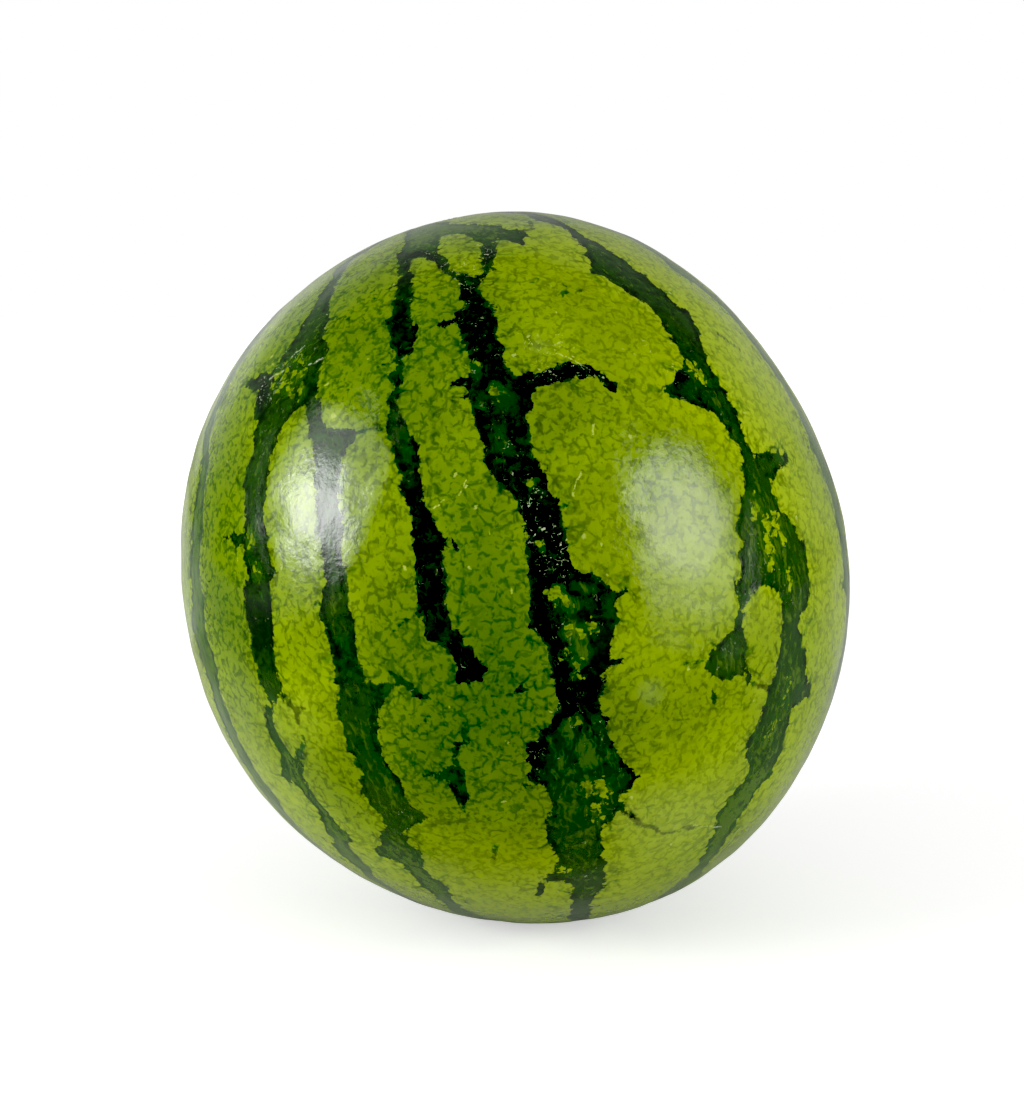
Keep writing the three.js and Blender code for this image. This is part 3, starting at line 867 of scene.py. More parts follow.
# %% [markdown]
# ## Ripples, the scar and the sunk stripes
#
# Slow ripples of about a tenth of a millimetre keep a reflection from being too perfect. The scar
# where the stem broke off has rings of cork, a pit and cracks. The stripes lie a breath lower than
# the ground between them. A bump in the finish could fake all three, but the points lie close
# enough together to be moved, and moved points catch the light rightly from every side.

# %% Ripples, scar and sunk stripes
RIPPLES = 24
RIPPLE_HEIGHT = 0.02
RIPPLE_LENGTHS = (9, 26)  # millimetres from crest to crest, the shortest and the longest
RIPPLE_SEED = 7
CORK_RING, CORK_RING_HEIGHT, CORK_REACH = 1.7, 0.16, 4.2
PIT_DEPTH, PIT_REACH = 1.1, 1.7
CRACK_PAIRS, CRACK_DEPTH = 7, 0.22
CRACK_OUT, CRACK_REACH = 3.2, 1.8  # millimetres from the stem line, and to either side of that
STRIPE_DEPTH = 0.12
STRIPE_STEEPNESS = 2.5  # per millimetre across a stripe's edge


def ripples(toward):
    """Slow waves in random directions, from a fixed seed: each is a sine along its direction."""
    random = np.random.default_rng(RIPPLE_SEED)
    axes = random.normal(size=(RIPPLES, 3))
    axes /= np.linalg.norm(axes, axis=1, keepdims=True)
    lengths = random.uniform(*RIPPLE_LENGTHS, RIPPLES)
    starts = random.uniform(0, 2 * math.pi, RIPPLES)
    waves = np.sin(2 * math.pi * MEAN_RADIUS * (toward @ axes.T) / lengths + starts)
    return RIPPLE_HEIGHT * waves.sum(axis=1)


def stem_scar(toward, lon):
    """The corky scar where the stem broke off, in millimetres: rings of cork that wave as a cosine
    of the distance from its middle, a pit where the stem's core was, and shallow cracks, which are
    the fourth power of a cosine round the stem, so that each of its waves makes a pair."""
    out = along_rind(90 - to_globe(toward)[0])
    rings = CORK_RING_HEIGHT * np.cos(2 * math.pi * out / CORK_RING) * bump(out, CORK_REACH)
    pit = -PIT_DEPTH * bump(out, PIT_REACH)
    around = np.cos(np.radians(CRACK_PAIRS * lon) + out) ** 4
    cracks = -CRACK_DEPTH * around * bump(out - CRACK_OUT, CRACK_REACH)
    return rings + pit + cracks


radius = radius + stem_scar(directions, longitude) + ripples(directions)
radius -= STRIPE_DEPTH / (1 + np.exp(STRIPE_STEEPNESS * edge))
print("radius from", radius.min().round(1), "to", radius.max().round(1), "mm")

# %% [markdown]
# ## Setting the fruit down
#
# A melon's own weight flattens the spot it rests on. Here the lowest 1.9 mm are pressed flat, and
# a smooth maximum rounds the edge of the flat. Cutting the flat off would be quicker, but no skin
# has a knife edge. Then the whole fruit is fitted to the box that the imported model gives.

# %% Press the resting spot flat and place the fruit
RESTING_DEPTH = 1.9  # millimetres
SOFT_EDGE = 0.5


def pressed_flat(height):
    """The smooth maximum of a height and nought: a share of the height, which grows from 0 to 1
    over the soft edge, plus the edge x share x (1 - share)."""
    share = np.clip(0.5 + 0.5 * height / SOFT_EDGE, 0, 1)
    return share * height + SOFT_EDGE * share * (1 - share) * (share < 1)


points = directions * radius[:, None]
flat_height = points[:, 2].min() + RESTING_DEPTH
low_xy, high_xy = points[:, :2].min(axis=0), points[:, :2].max(axis=0)
middle = np.array([*(low_xy + high_xy) / 2, flat_height])
points -= middle
points[:, 2] = pressed_flat(points[:, 2])
fit = (box_high - box_low) / np.ptp(points, axis=0) / MM
points = box_low + (points - points.min(axis=0)) * fit * MM
fruit_middle = -middle * MM
print("fitted by a factor of", fit.round(5), "with its middle at", fruit_middle.round(4))

# %% [markdown]
# ## Making the mesh
#
# The points and faces go into one closed mesh. Each point carries its distances, tint and patches
# as attributes, which the finish reads by name. Separate meshes for the stripes would need an edge
# that matches the ground's. The six sides of the cube are its six squares in the bake.

# %% Build the rind
def new_mesh(name, corners, quads):
    """A mesh object from an array of points and an array of four-sided faces."""
    mesh = bpy.data.meshes.new(name)
    mesh.from_pydata(corners.tolist(), [], quads.tolist())
    made = bpy.data.objects.new(name, mesh)
    bpy.context.scene.collection.objects.link(made)
    return made


rind = new_mesh("watermelon_rind", points, faces)
rind.data.shade_smooth()
for name, values in {"edge": edge, "vein": vein, "island": island, "tint": tint,
                     "tone_and_painted_light": tone_and_painted_light, "bloom_and_sheen": bloom_and_sheen, "scuff_and_glint": scuff_and_glint}.items():
    carried = rind.data.attributes.new(name, "FLOAT", "POINT")
    carried.data.foreach_set("value", values.astype(np.float32))
bake_map = rind.data.uv_layers.new(name="OFBake")
bake_map.uv.foreach_set("vector", bake_places.reshape(-1).astype(np.float32))
rind.data.update()

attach(rind, "root")
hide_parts(FRUIT)
print("the rind has", 2 * len(faces), "triangles")

# %% [markdown]
# ## Small tools for the finish
#
# A finish is a tree of nodes. It could be wired by hand in the shader editor, but then it couldn't
# be read here. Each helper adds one kind of node with its inputs and gives back an output, so that
# a step of the finish is one line: a sum, a blend of two colours, or a value moved to a new range.

# %% Node helpers
def new_tree(owner):
    """Empties the node tree of a material or a world. Every later node is added to that tree."""
    global tree
    owner.use_nodes = True
    tree = owner.node_tree
    tree.nodes.clear()


def node(kind, inputs, output=0, **settings):
    """Adds a node and gives back one of its outputs. An input is a number, a colour or an output."""
    made = tree.nodes.new("ShaderNode" + kind)
    for setting, value in settings.items():
        setattr(made, setting, value)
    for socket, value in inputs.items():
        if isinstance(value, bpy.types.NodeSocket):
            tree.links.new(value, made.inputs[socket])
        else:
            made.inputs[socket].default_value = value
    return made.outputs[output]


def end_tree(shader, kind="OutputMaterial"):
    """Joins a shader to the output of its tree."""
    tree.links.new(shader, tree.nodes.new("ShaderNode" + kind).inputs[0])


def calc(operation, first, second=0.0, third=0.0):
    """One Math node."""
    return node("Math", {0: first, 1: second, 2: third}, operation=operation)


def ramp(value, start, end, low=0.0, high=1.0):
    """The value moved smoothly from the range start..end to low..high, and held there. With t as
    the share of the way from start to end, it is low + (high - low) x t^2 x (3 - 2t)."""
    settings = {"Value": value, "From Min": start, "From Max": end, "To Min": low, "To Max": high}
    return node("MapRange", settings, interpolation_type="SMOOTHSTEP")


def blend(share, first, second, how="MIX"):
    """Two colours mixed: first x (1 - share) + second x share, unless how says otherwise."""
    return node("Mix", {0: share, 6: first, 7: second}, output=2, data_type="RGBA", blend_type=how)


skin = bpy.data.materials.new("waxy_striped_rind")
new_tree(skin)
print("the fruit's finish is", skin.name)

# %% [markdown]
# ## Patterns, and what the points keep
#
# Nature's lumps and cells come from two textures. Noise gives clouds and grain. Voronoi cuts the
# rind into cells, as the fruit's own skin is, and tells how far it is to the border between two of
# them. Both take a size in millimetres here, which is easier to judge than a texture's scale.
#
# A noise stays mostly between 0.3 and 0.7. So a ramp between two such values picks out its lumps,
# and the higher the two are, the fewer lumps are left. Most pairs of numbers below do that.

# %% Pattern helpers
def noise(place, size, detail=2.0, roughness=0.5, output=0):
    """A cloudy pattern whose lumps are about size millimetres across: its scale is 1 / size."""
    settings = {"Vector": place, "Scale": 1 / size, "Detail": detail, "Roughness": roughness}
    return node("TexNoise", settings, output=output)


def cells(place, size, feature, output):
    """A Voronoi pattern with cells about size millimetres across: its scale is 1 / size."""
    settings = {"Vector": place, "Scale": 1 / size}
    return node("TexVoronoi", settings, output=output, feature=feature)


def to_cell_border(place, size):
    """Millimetres to the border between two cells: the pattern's own distance x the size."""
    return calc("MULTIPLY", cells(place, size, "DISTANCE_TO_EDGE", 0), size)


def kept(name):
    """A value that the points keep, by its name."""
    return node("Attribute", {}, output=2, attribute_name=name)


def srgb(red, green, blue):
    """A screen colour, in steps of 1/255, as the linear colour that nodes want: small shares are
    divided by 12.92, and others are ((share + 0.055) / 1.055)^2.4."""
    shares = np.array([red, green, blue]) / 255
    linear = np.where(shares <= 0.04045, shares / 12.92, ((shares + 0.055) / 1.055) ** 2.4)
    return (*linear.tolist(), 1.0)


print("half bright on a screen is", round(srgb(128, 128, 128)[0], 3), "in light")

# %% [markdown]
# ## Where the finish is
#
# The finish works in millimetres in the fruit's own globe: its origin is the middle of the fruit,
# and its Z runs to the stem end. A Mapping node does that to the object's coordinates. Copies that
# are pushed about by noise keep the cells of the vein net from looking ruled.

# %% Places on the rind
SWAY = {"size": 6.0, "reach": 4.0}  # millimetres
FRAY = {"size": 1.6, "reach": 1.2}

to_middle = Matrix.Rotation(math.radians(STEM_LEAN), 3, "Y") @ Vector(fruit_middle / MM)
place = node("Mapping", {
    "Vector": node("TexCoord", {}, output=3),
    "Location": -to_middle,
    "Rotation": (0, math.radians(STEM_LEAN), 0),
    "Scale": (1 / MM, 1 / MM, 1 / MM),
})


def wobbled(start, size, reach):
    """Places pushed about by a coloured noise of that size: start + reach x (noise - 0.5)."""
    push = node("VectorMath", {0: noise(start, size, output=1), 1: (0.5, 0.5, 0.5)}, operation="SUBTRACT")
    push = node("VectorMath", {0: push, "Scale": reach}, operation="SCALE")
    return node("VectorMath", {0: start, 1: push}, operation="ADD")


def stretched(start, longer):
    """Places that make a pattern longer along the meridians: their Z is divided by longer."""
    return node("Mapping", {"Vector": start, "Scale": (1, 1, 1 / longer)})


swayed = wobbled(place, **SWAY)
loose = wobbled(swayed, **FRAY)
print("the finish reads places in mm from the fruit's middle")

# %% [markdown]
# ## Ragged edges
#
# A stripe's edge isn't smooth: it follows the cells of the rind. Dark green creeps outwards along
# the borders between cells and leaves their middles pale, so the edge is a row of rounded lobes
# with sharp cusps between them. A plain noise would give it a torn edge instead. Adding the distance
# to the cell borders to the stripe distance does just that. The lobes and teeth are in millimetres,
# and push the edge about as far out as in.

# %% Lobes and teeth
BIG_CELL, SMALL_CELL, GRAIN = 9.0, 3.6, 0.7  # millimetres across
TOOTH = 1.7  # millimetres from the lowest grain to the highest


def lobes(border, fullest, rise, sink):
    """How far the lobes of one size of cell move the edge, in millimetres: rise x the distance to
    the cell's border, which counts up to where the lobe is fullest, less sink."""
    return calc("MULTIPLY_ADD", calc("MINIMUM", border, fullest), rise, -sink)


edge_mm = kept("edge")
big_border = to_cell_border(loose, BIG_CELL)
small_border = to_cell_border(loose, SMALL_CELL)
grain = noise(place, GRAIN, roughness=0.75)

big_lobes = lobes(big_border, fullest=2.0, rise=0.6, sink=0.5)
small_lobes = lobes(small_border, fullest=1.1, rise=0.8, sink=0.4)
teeth = calc("MULTIPLY_ADD", grain, TOOTH, -TOOTH / 2)
ragged = calc("ADD", edge_mm, calc("ADD", teeth, calc("ADD", big_lobes, small_lobes)))
print("cells of", BIG_CELL, "and", SMALL_CELL, "mm shape the edges")

# %% [markdown]
# ## Streaky islands and thin veins
#
# The islands are pale ground seen through the dark, so they push the edge the other way: the
# larger of the stripe's distance and the island's, with its sign turned, wins. They are far more
# torn than a stripe, so their edge has lace, pebbles and grain in it. A stripe's teeth would leave
# them as neat ovals. A vein's edge is steadier, or so thin a line would break up.

# %% The masks of the dark
LACE, STREAK, PEBBLE = 1.2, 1.5, 2.3  # millimetres across
STREAK_LONGER = 3.5  # times as long as wide
LACE_PUSH, PEBBLE_PUSH, GRAIN_PUSH = 8.0, 2.0, 2.6  # how much each moves an island's edge
ISLAND_SINK = 7.2
VEIN_GRAIN, VEIN_LOBES, VEIN_SINK = 1.2, 0.7, 0.75
EDGE_SOFTNESS = 0.2  # millimetres to either side of a stripe's edge
VEIN_OUT, VEIN_IN = 0.25, -0.35  # millimetres from its edge where a vein fades

streaks = noise(stretched(loose, STREAK_LONGER), STREAK, roughness=0.6)
lace = calc("MULTIPLY_ADD", noise(loose, LACE), 0.5, calc("MULTIPLY", streaks, 0.5))
pebbles = calc("MULTIPLY", cells(loose, PEBBLE, "F1", 0), PEBBLE)
island_teeth = calc("MULTIPLY_ADD", pebbles, PEBBLE_PUSH, -ISLAND_SINK)
island_teeth = calc("MULTIPLY_ADD", lace, LACE_PUSH, island_teeth)
island_teeth = calc("MULTIPLY_ADD", grain, GRAIN_PUSH, island_teeth)
island_edge = calc("ADD", kept("island"), island_teeth)
ragged = calc("MAXIMUM", ragged, calc("MULTIPLY", island_edge, -1.0))
in_stripe = ramp(ragged, EDGE_SOFTNESS, -EDGE_SOFTNESS)

vein_teeth = calc("MULTIPLY_ADD", small_lobes, VEIN_LOBES, -VEIN_SINK)
vein_teeth = calc("MULTIPLY_ADD", grain, VEIN_GRAIN, vein_teeth)
in_vein = ramp(calc("ADD", kept("vein"), vein_teeth), VEIN_OUT, VEIN_IN)
print("the masks have", len(tree.nodes), "nodes")

# %% [markdown]
# ## The pale ground
#
# Between the stripes the rind is yellow-green, in soft clouds. Four greens are blended: two that the
# clouds choose between, and a deeper one and a paler one that the kept patches bring in, partly as
# painted shade and painted light. Mixing one flat colour with plain noise would miss that the fruit
# is greener low down in front.

# %% The ground colour
GROUND, GROUND_PALE = srgb(117, 139, 8), srgb(129, 152, 12)
# The deep green and the paler one are also where the patches' painted shade and painted light lead.
GROUND_GREEN, GROUND_PALER_AND_LIT = srgb(60, 94, 10), srgb(158, 177, 34)
CLOUD, MOTTLE = 22.0, 2.6  # millimetres across
MOTTLE_SHARE = 0.13
SHADE_SHARE = 0.9  # of the full colour, where the shade is 1

clouds = noise(place, CLOUD, detail=1.0)
ground = blend(ramp(clouds, 0.35, 0.65), GROUND, GROUND_PALE)
# Paler patches, partly painted light, then greener ones, partly painted shade.
ground = blend(calc("MULTIPLY", kept("tone_and_painted_light"), -SHADE_SHARE), ground, GROUND_PALER_AND_LIT)
ground = blend(calc("MULTIPLY", kept("tone_and_painted_light"), SHADE_SHARE), ground, GROUND_GREEN)
mottled = ramp(noise(loose, MOTTLE, roughness=0.65), 0.36, 0.66)
ground = blend(calc("MULTIPLY", mottled, MOTTLE_SHARE), ground, GROUND_GREEN)
print("four greens make the ground")

# %% [markdown]
# ## The net of fine marks
#
# Over the ground lies a net of darker marks: short strokes along the borders of small cells, broken
# up by noise, and longer lines, plainest near the stripes. Painted in one colour they would look
# printed on. So they multiply the ground's own colour, as a thin layer of green would, and stay a
# shade of whatever lies under them. The strokes are fainter where the ground is pale.

# %% Short strokes
STROKE, STROKE_GREEN = (0.42, 0.48, 0.35, 1), (0.30, 0.52, 0.40, 1)
STROKE_CELL, STROKE_BREAK, DASH = 3.4, 2.2, 1.8  # millimetres across
STROKE_OUT, STROKE_IN = 0.62, 0.15  # millimetres from a cell's border where a stroke fades
DASH_STRENGTH = 0.6
ON_PALEST, ON_GREENEST = 0.56, 0.92  # how strong the strokes are on the two kinds of ground


def darker(share, under, layer):
    """A colour seen through a thin coloured layer: under x layer, mixed in by the share."""
    return blend(share, under, layer, how="MULTIPLY")


layer = blend(ramp(kept("tone_and_painted_light"), 0.1, 0.6), STROKE, STROKE_GREEN)
broken = ramp(noise(place, STROKE_BREAK), 0.45, 0.55)
strokes = ramp(to_cell_border(loose, STROKE_CELL), STROKE_OUT, STROKE_IN)
strokes = calc("MULTIPLY", strokes, broken)
dashes = ramp(noise(loose, DASH, detail=1.5), 0.58, 0.66)
strokes = calc("MAXIMUM", strokes, calc("MULTIPLY", dashes, DASH_STRENGTH))
strokes = calc("MULTIPLY", strokes, ramp(kept("tone_and_painted_light"), -0.6, 0.4, ON_PALEST, ON_GREENEST))
ground = darker(strokes, ground, layer)
print("with the strokes there are", len(tree.nodes), "nodes")

# %% [markdown]
# ## Longer lines and pale specks
#
# The longer marks are veins under the skin that feed its cells, so they too follow borders: a fine
# net along the small cells, and long veins along the big ones. Drawn as strokes there would be
# hundreds. The specks are pores, one in the middle of every tenth cell or so.

# %% The net, long veins and specks
LINE_OUT, LINE_IN = 0.6, 0.1  # millimetres from a cell's border where a line fades
NEAR = 9.0  # millimetres from a stripe where the lines start to grow stronger
SPECK, SPECK_STRENGTH = srgb(182, 196, 100), 0.6
SPECK_CELL, SPECK_REACH, SPECK_COUNT = 4.2, 0.75, 0.10  # the last is the share of cells with one
SPECK_CORE = 0.4  # share of its reach where a speck is full
SPECK_GRAIN = 0.3

near_stripe = ramp(edge_mm, NEAR, 0.0)


def broken_lines(border, patch, strength, more_near):
    """Lines along the borders of cells, kept only in patches of a noise of that size. They are as
    strong as strength + more_near x how near a stripe is."""
    lines = calc("MULTIPLY", ramp(border, LINE_OUT, LINE_IN), ramp(noise(place, patch), 0.48, 0.58))
    return calc("MULTIPLY", lines, calc("MULTIPLY_ADD", near_stripe, more_near, strength))


def specks(size, reach, share):
    """Small round marks: the middle of each cell out to its reach, in a share of the cells only.
    The distance to the middle is roughened by the grain."""
    cell = cells(loose, size, "F1", 0).node
    to_middle_of_cell = calc("SUBTRACT", cell.outputs["Distance"], SPECK_GRAIN / 2)
    to_middle_of_cell = calc("MULTIPLY_ADD", grain, SPECK_GRAIN, to_middle_of_cell)
    chosen = calc("LESS_THAN", node("SeparateColor", {0: cell.outputs["Color"]}), share)
    return calc("MULTIPLY", ramp(to_middle_of_cell, reach / size, SPECK_CORE * reach / size), chosen)


net = broken_lines(small_border, 4.0, strength=0.3, more_near=0.5)
ground = darker(net, ground, layer)
long_veins = broken_lines(big_border, 8.0, strength=0.15, more_near=0.7)
ground = darker(long_veins, ground, STROKE_GREEN)
speckled = specks(SPECK_CELL, SPECK_REACH, SPECK_COUNT)
ground = blend(calc("MULTIPLY", speckled, SPECK_STRENGTH), ground, SPECK)
print("with the net there are", len(tree.nodes), "nodes")

# %% [markdown]
# ## The dark stripes
#
# A stripe is darkest along its edges and greener inside, with olive streaks along the meridians
# where its tint is high. Near a light island it turns leafy. So the depth inside the edge and the
# kept tint choose between five dark greens, and noises break the steps between them. One dark
# colour with bright noise on it would look like marble.

# %% The stripe colour
BLACK, BLACK_GREEN, BOTTLE_GREEN = srgb(12, 28, 10), srgb(18, 44, 12), srgb(30, 62, 10)
LEAF_GREEN, OLIVE = srgb(32, 72, 12), srgb(76, 106, 22)
OUTLINE, CORE = -0.8, -3.0  # millimetres inside the edge
OUTLINE_TINT = 0.45  # share of its tint that a stripe has in its outline
MOTTLE_PUSH = 1.5
LEAF_LUMP, LEAF_BY_ISLAND, LEAF_BY_TINT = 3.2, 0.26, 0.16
OLIVE_STREAK, OLIVE_LONGER, OLIVE_BY_TINT = 1.5, 4.0, 0.26
FRINGE_PATCH = 7.0  # millimetres across, where a green fringe is kept

mottle = noise(loose, MOTTLE, roughness=0.6)
near_island = ramp(kept("island"), 2.5, -0.5)
deep = calc("MULTIPLY", ramp(edge_mm, OUTLINE, CORE, OUTLINE_TINT, 1.0), kept("tint"))
greenness = calc("ADD", calc("MULTIPLY_ADD", mottle, MOTTLE_PUSH, -MOTTLE_PUSH / 2), deep)
stripe = blend(ramp(grain, 0.48, 0.66, 0.0, 0.6), BLACK, BLACK_GREEN)
stripe = blend(ramp(greenness, 0.0, 0.6), stripe, BOTTLE_GREEN)
leafy = calc("MULTIPLY_ADD", kept("tint"), LEAF_BY_TINT, noise(loose, LEAF_LUMP))
leafy = calc("MULTIPLY_ADD", near_island, LEAF_BY_ISLAND, leafy)
stripe = blend(ramp(leafy, 0.70, 0.78, 0.0, 0.9), stripe, LEAF_GREEN)
along = noise(stretched(loose, OLIVE_LONGER), OLIVE_STREAK, roughness=0.6)
olive = ramp(calc("MULTIPLY_ADD", deep, OLIVE_BY_TINT, along), 0.66, 0.90, 0.0, 0.8)
stripe = blend(olive, stripe, OLIVE)
fringe = calc("MULTIPLY", ramp(ragged, -1.3, -0.7), ramp(noise(place, FRINGE_PATCH), 0.50, 0.58))
stripe = blend(calc("MULTIPLY", fringe, 0.5), stripe, LEAF_GREEN)
print("five greens make the stripes")

# %% [markdown]
# ## Scuffs and painted glints
#
# Tiny scuffs show whitish, above all on the dark, which hides nothing, and the same flecks partly
# paint glints of light on the wax. They are flecks, and hairs along the lines where a noise crosses
# its middle value, which wind as real hairline scratches do. The kept swarms decide where they may be.

# %% Flecks and hairs
# A whitish colour for scuffs and painted glints, and for the scratches on the dark.
SCUFF_AND_GLINT = srgb(184, 194, 160)
ON_DARK, ON_PALE = 0.85, 0.75  # how strong a scuff is
HAIR, FLECK, WINDING = 1.5, 0.85, 2.4  # millimetres across

ridge = calc("ABSOLUTE", calc("SUBTRACT", noise(loose, WINDING, detail=1.0), 0.5))
hairs = calc("MULTIPLY", ramp(ridge, 0.014, 0.004), ramp(noise(place, HAIR), 0.54, 0.62))
flecks = ramp(noise(loose, FLECK), 0.63, 0.72)
# Where the flecks go: partly scuffs, partly painted glints.
swarm_mask = calc("ADD", kept("scuff_and_glint"), calc("MULTIPLY_ADD", noise(place, 3.5), 2.4, -1.3))
scuffed_and_glinting = calc("MULTIPLY", calc("MAXIMUM", hairs, flecks), ramp(swarm_mask, 0.1, 0.7))
stripe = blend(calc("MULTIPLY", scuffed_and_glinting, ON_DARK), stripe, SCUFF_AND_GLINT)
# On the ground the same flecks, partly painted glints, take the speck colour.
pale_flecks = calc("MULTIPLY", scuffed_and_glinting, ramp(kept("scuff_and_glint"), 0.2, 0.5))
ground = blend(calc("MULTIPLY", pale_flecks, ON_PALE), ground, SPECK)
print("with the scuffs there are", len(tree.nodes), "nodes")

# %% [markdown]
# ## A few single scratches
#
# Some long thin scratches cross the rind. A scratch is far narrower than the space between two
# points of the mesh, so the points can't keep it. The finish works out how far every place is
# from each scratch's own line, which stays sharp however near the camera comes.

# %% Scratches
SCRATCHES = [
    ((26.5, 18.7), (20.7, 14.6)), ((20.7, 14.6), (17.4, 12.4)), ((19.1, -8.7), (21.4, -2.9)),
    ((18.8, -1.4), (14.5, -0.9)), ((-40.5, 27.0), (-43.4, 35.0)), ((45.2, -34.8), (45.7, -31.2)),
    ((43.3, -45.9), (45.0, -42.2)), ((46.9, -41.3), (48.4, -38.2)),
    ((38.4, 16.6), (35.4, 20.8)), ((35.8, 20.0), (33.0, 23.2)),
    ((22.3, -2.8), (20.4, -4.8)), ((40.5, 11.5), (40.0, 19.0)),
]
SCRATCH_OUT, SCRATCH_IN = 0.50, 0.15  # millimetres from its line where a scratch fades
FAR_OFF = 9.0
SCRATCH_STRENGTH = 0.8


def on_rind(lat, lon):
    """The place of a latitude and longitude in the finish's own millimetres, whose Z runs to the
    stem end. The radius there is read off the nearest point of the rind."""
    nearest = int(np.argmax(directions @ to_direction(lat, lon)))
    lat, lon = np.radians(lat), np.radians(lon)
    flat = np.cos(lat)
    return radius[nearest] * np.array([flat * np.sin(lon), -flat * np.cos(lon), np.sin(lat)])


def to_line(start, end):
    """Millimetres from here to a straight segment: the place is projected on it and held to it."""
    run = end - start
    offset = node("VectorMath", {0: swayed, 1: tuple(start)}, operation="SUBTRACT")
    share = node("VectorMath", {0: offset, 1: tuple(run / (run @ run))}, output=1, operation="DOT_PRODUCT")
    share = node("Clamp", {"Value": share})
    nearest = node("VectorMath", {0: tuple(run), "Scale": share}, operation="SCALE")
    return node("VectorMath", {0: offset, 1: nearest}, output=1, operation="DISTANCE")


scratch_mm = FAR_OFF
for start, end in SCRATCHES:
    scratch_mm = calc("MINIMUM", scratch_mm, to_line(on_rind(*start), on_rind(*end)))
scratched = calc("MULTIPLY", ramp(scratch_mm, SCRATCH_OUT, SCRATCH_IN), ramp(grain, 0.40, 0.56))
ground = blend(calc("MULTIPLY", scratched, SCRATCH_STRENGTH), ground, SPECK)
stripe = blend(calc("MULTIPLY", scratched, SCRATCH_STRENGTH), stripe, SCUFF_AND_GLINT)
print(len(SCRATCHES), "scratches")

# %% [markdown]
# ## Putting the colour together
#
# The layers go on one by one: the ground, the thin veins in it, a dusting of bloom and painted sheen
# on the pale parts, and the dark over them. The stem end keeps a corky tan scar in its dimple, and
# the blossom end a small brown dot. A material of their own would end in a line of faces, so they
# are drawn here by their distance from the stem line, roughened by noise.

# %% Veins, bloom with painted sheen, dark and cork
VEIN, VEIN_GREEN = (0.36, 0.38, 0.30, 1), (0.10, 0.36, 0.60, 1)
BLOOM_AND_SHEEN = srgb(190, 200, 160)
CORK, CORK_DARK = srgb(150, 122, 78), srgb(92, 66, 34)
CORK_FLAKE, CORK_LOBE = 0.9, 1.5  # millimetres across
CORK_RAGGED = 2.0  # millimetres that the cork's edge wanders
SCAR_OUT, SCAR_IN = 5.6, 4.2  # millimetres from the stem line where the cork fades
DOT_OUT, DOT_IN = 2.4, 1.4

vein_layer = blend(ramp(kept("tone_and_painted_light"), -0.45, -0.15), VEIN, VEIN_GREEN)
colour = darker(in_vein, ground, vein_layer)
# Bloom, partly real and partly a painted sheen, whitens the pale parts.
bloom_and_sheen_share = calc("MULTIPLY_ADD", mottle, -0.5, 0.75)
colour = blend(calc("MULTIPLY", kept("bloom_and_sheen"), bloom_and_sheen_share), colour, BLOOM_AND_SHEEN)
colour = blend(in_stripe, colour, stripe)

height = node("SeparateXYZ", {0: place}, output=2)
flat_place = node("VectorMath", {0: place, 1: (1, 1, 0)}, operation="MULTIPLY")
off_axis = node("VectorMath", {0: flat_place}, output=1, operation="LENGTH")
wander = calc("MULTIPLY_ADD", noise(place, CORK_LOBE), CORK_RAGGED, -CORK_RAGGED / 2)
off_axis = calc("ADD", off_axis, wander)
at_stem = calc("MULTIPLY", ramp(off_axis, SCAR_OUT, SCAR_IN), calc("GREATER_THAN", height, 0.0))
at_blossom = calc("MULTIPLY", ramp(off_axis, DOT_OUT, DOT_IN), calc("LESS_THAN", height, 0.0))
cork = blend(noise(place, CORK_FLAKE), CORK_DARK, CORK)
colour = blend(calc("MAXIMUM", at_stem, at_blossom), colour, cork)
print("the whole colour has", len(tree.nodes), "nodes")

# %% [markdown]
# ## Wax
#
# The skin is smooth under a thin wax, so a light shows as a soft-edged patch with a fine grain in
# it. A clear coat over a matt skin would give two highlights, one sharp and one dull, so one gloss
# is used. Its roughness drifts in streaks along the meridians, a very low bump makes pores and
# dents, and the cork is dull.

# %% The skin's shader
GLOSS, GLOSS_DRIFT, CORK_DULLNESS = 0.14, 0.12, 0.45
WAX_IOR = 1.5
PORE, PORE_DEPTH = 1.1, 0.05  # millimetres
DENT, DENT_DEPTH = 4.5, 0.10
SMEAR, SMEAR_LONGER = 2.0, 3.0  # of the wax

pores = calc("MULTIPLY", noise(place, PORE, roughness=0.6), PORE_DEPTH)
relief = calc("ADD", pores, calc("MULTIPLY", noise(place, DENT), DENT_DEPTH))
bumps = node("Bump", {"Height": relief, "Distance": MM, "Strength": 1.0})
roughness = calc("MULTIPLY_ADD", noise(stretched(place, SMEAR_LONGER), SMEAR), GLOSS_DRIFT, GLOSS)
roughness = calc("ADD", roughness, calc("MULTIPLY", at_stem, CORK_DULLNESS))
shader = node("BsdfPrincipled", {
    "Base Color": colour,
    "Roughness": roughness,
    "IOR": WAX_IOR,
    "Normal": bumps,
})
end_tree(shader)
rind.data.materials.append(skin)
print("the skin has", len(tree.nodes), "nodes")

# %% [markdown]
# ## The camera
#
# A moderate lens half a metre away looks down by a few degrees. A nearer, wider lens would make
# the fruit bulge. The camera is placed from the fruit's own middle and aims a little above it.

# %% Place the camera
CAMERA_ELEVATION = 8.0  # degrees
CAMERA_DISTANCE = 0.531
LENS, SENSOR = 55.51, 36.0  # millimetres
AIM_LEFT, AIM_UP = 0.00107, 0.00663
SIGHT = 50.0  # metres, past the whole floor

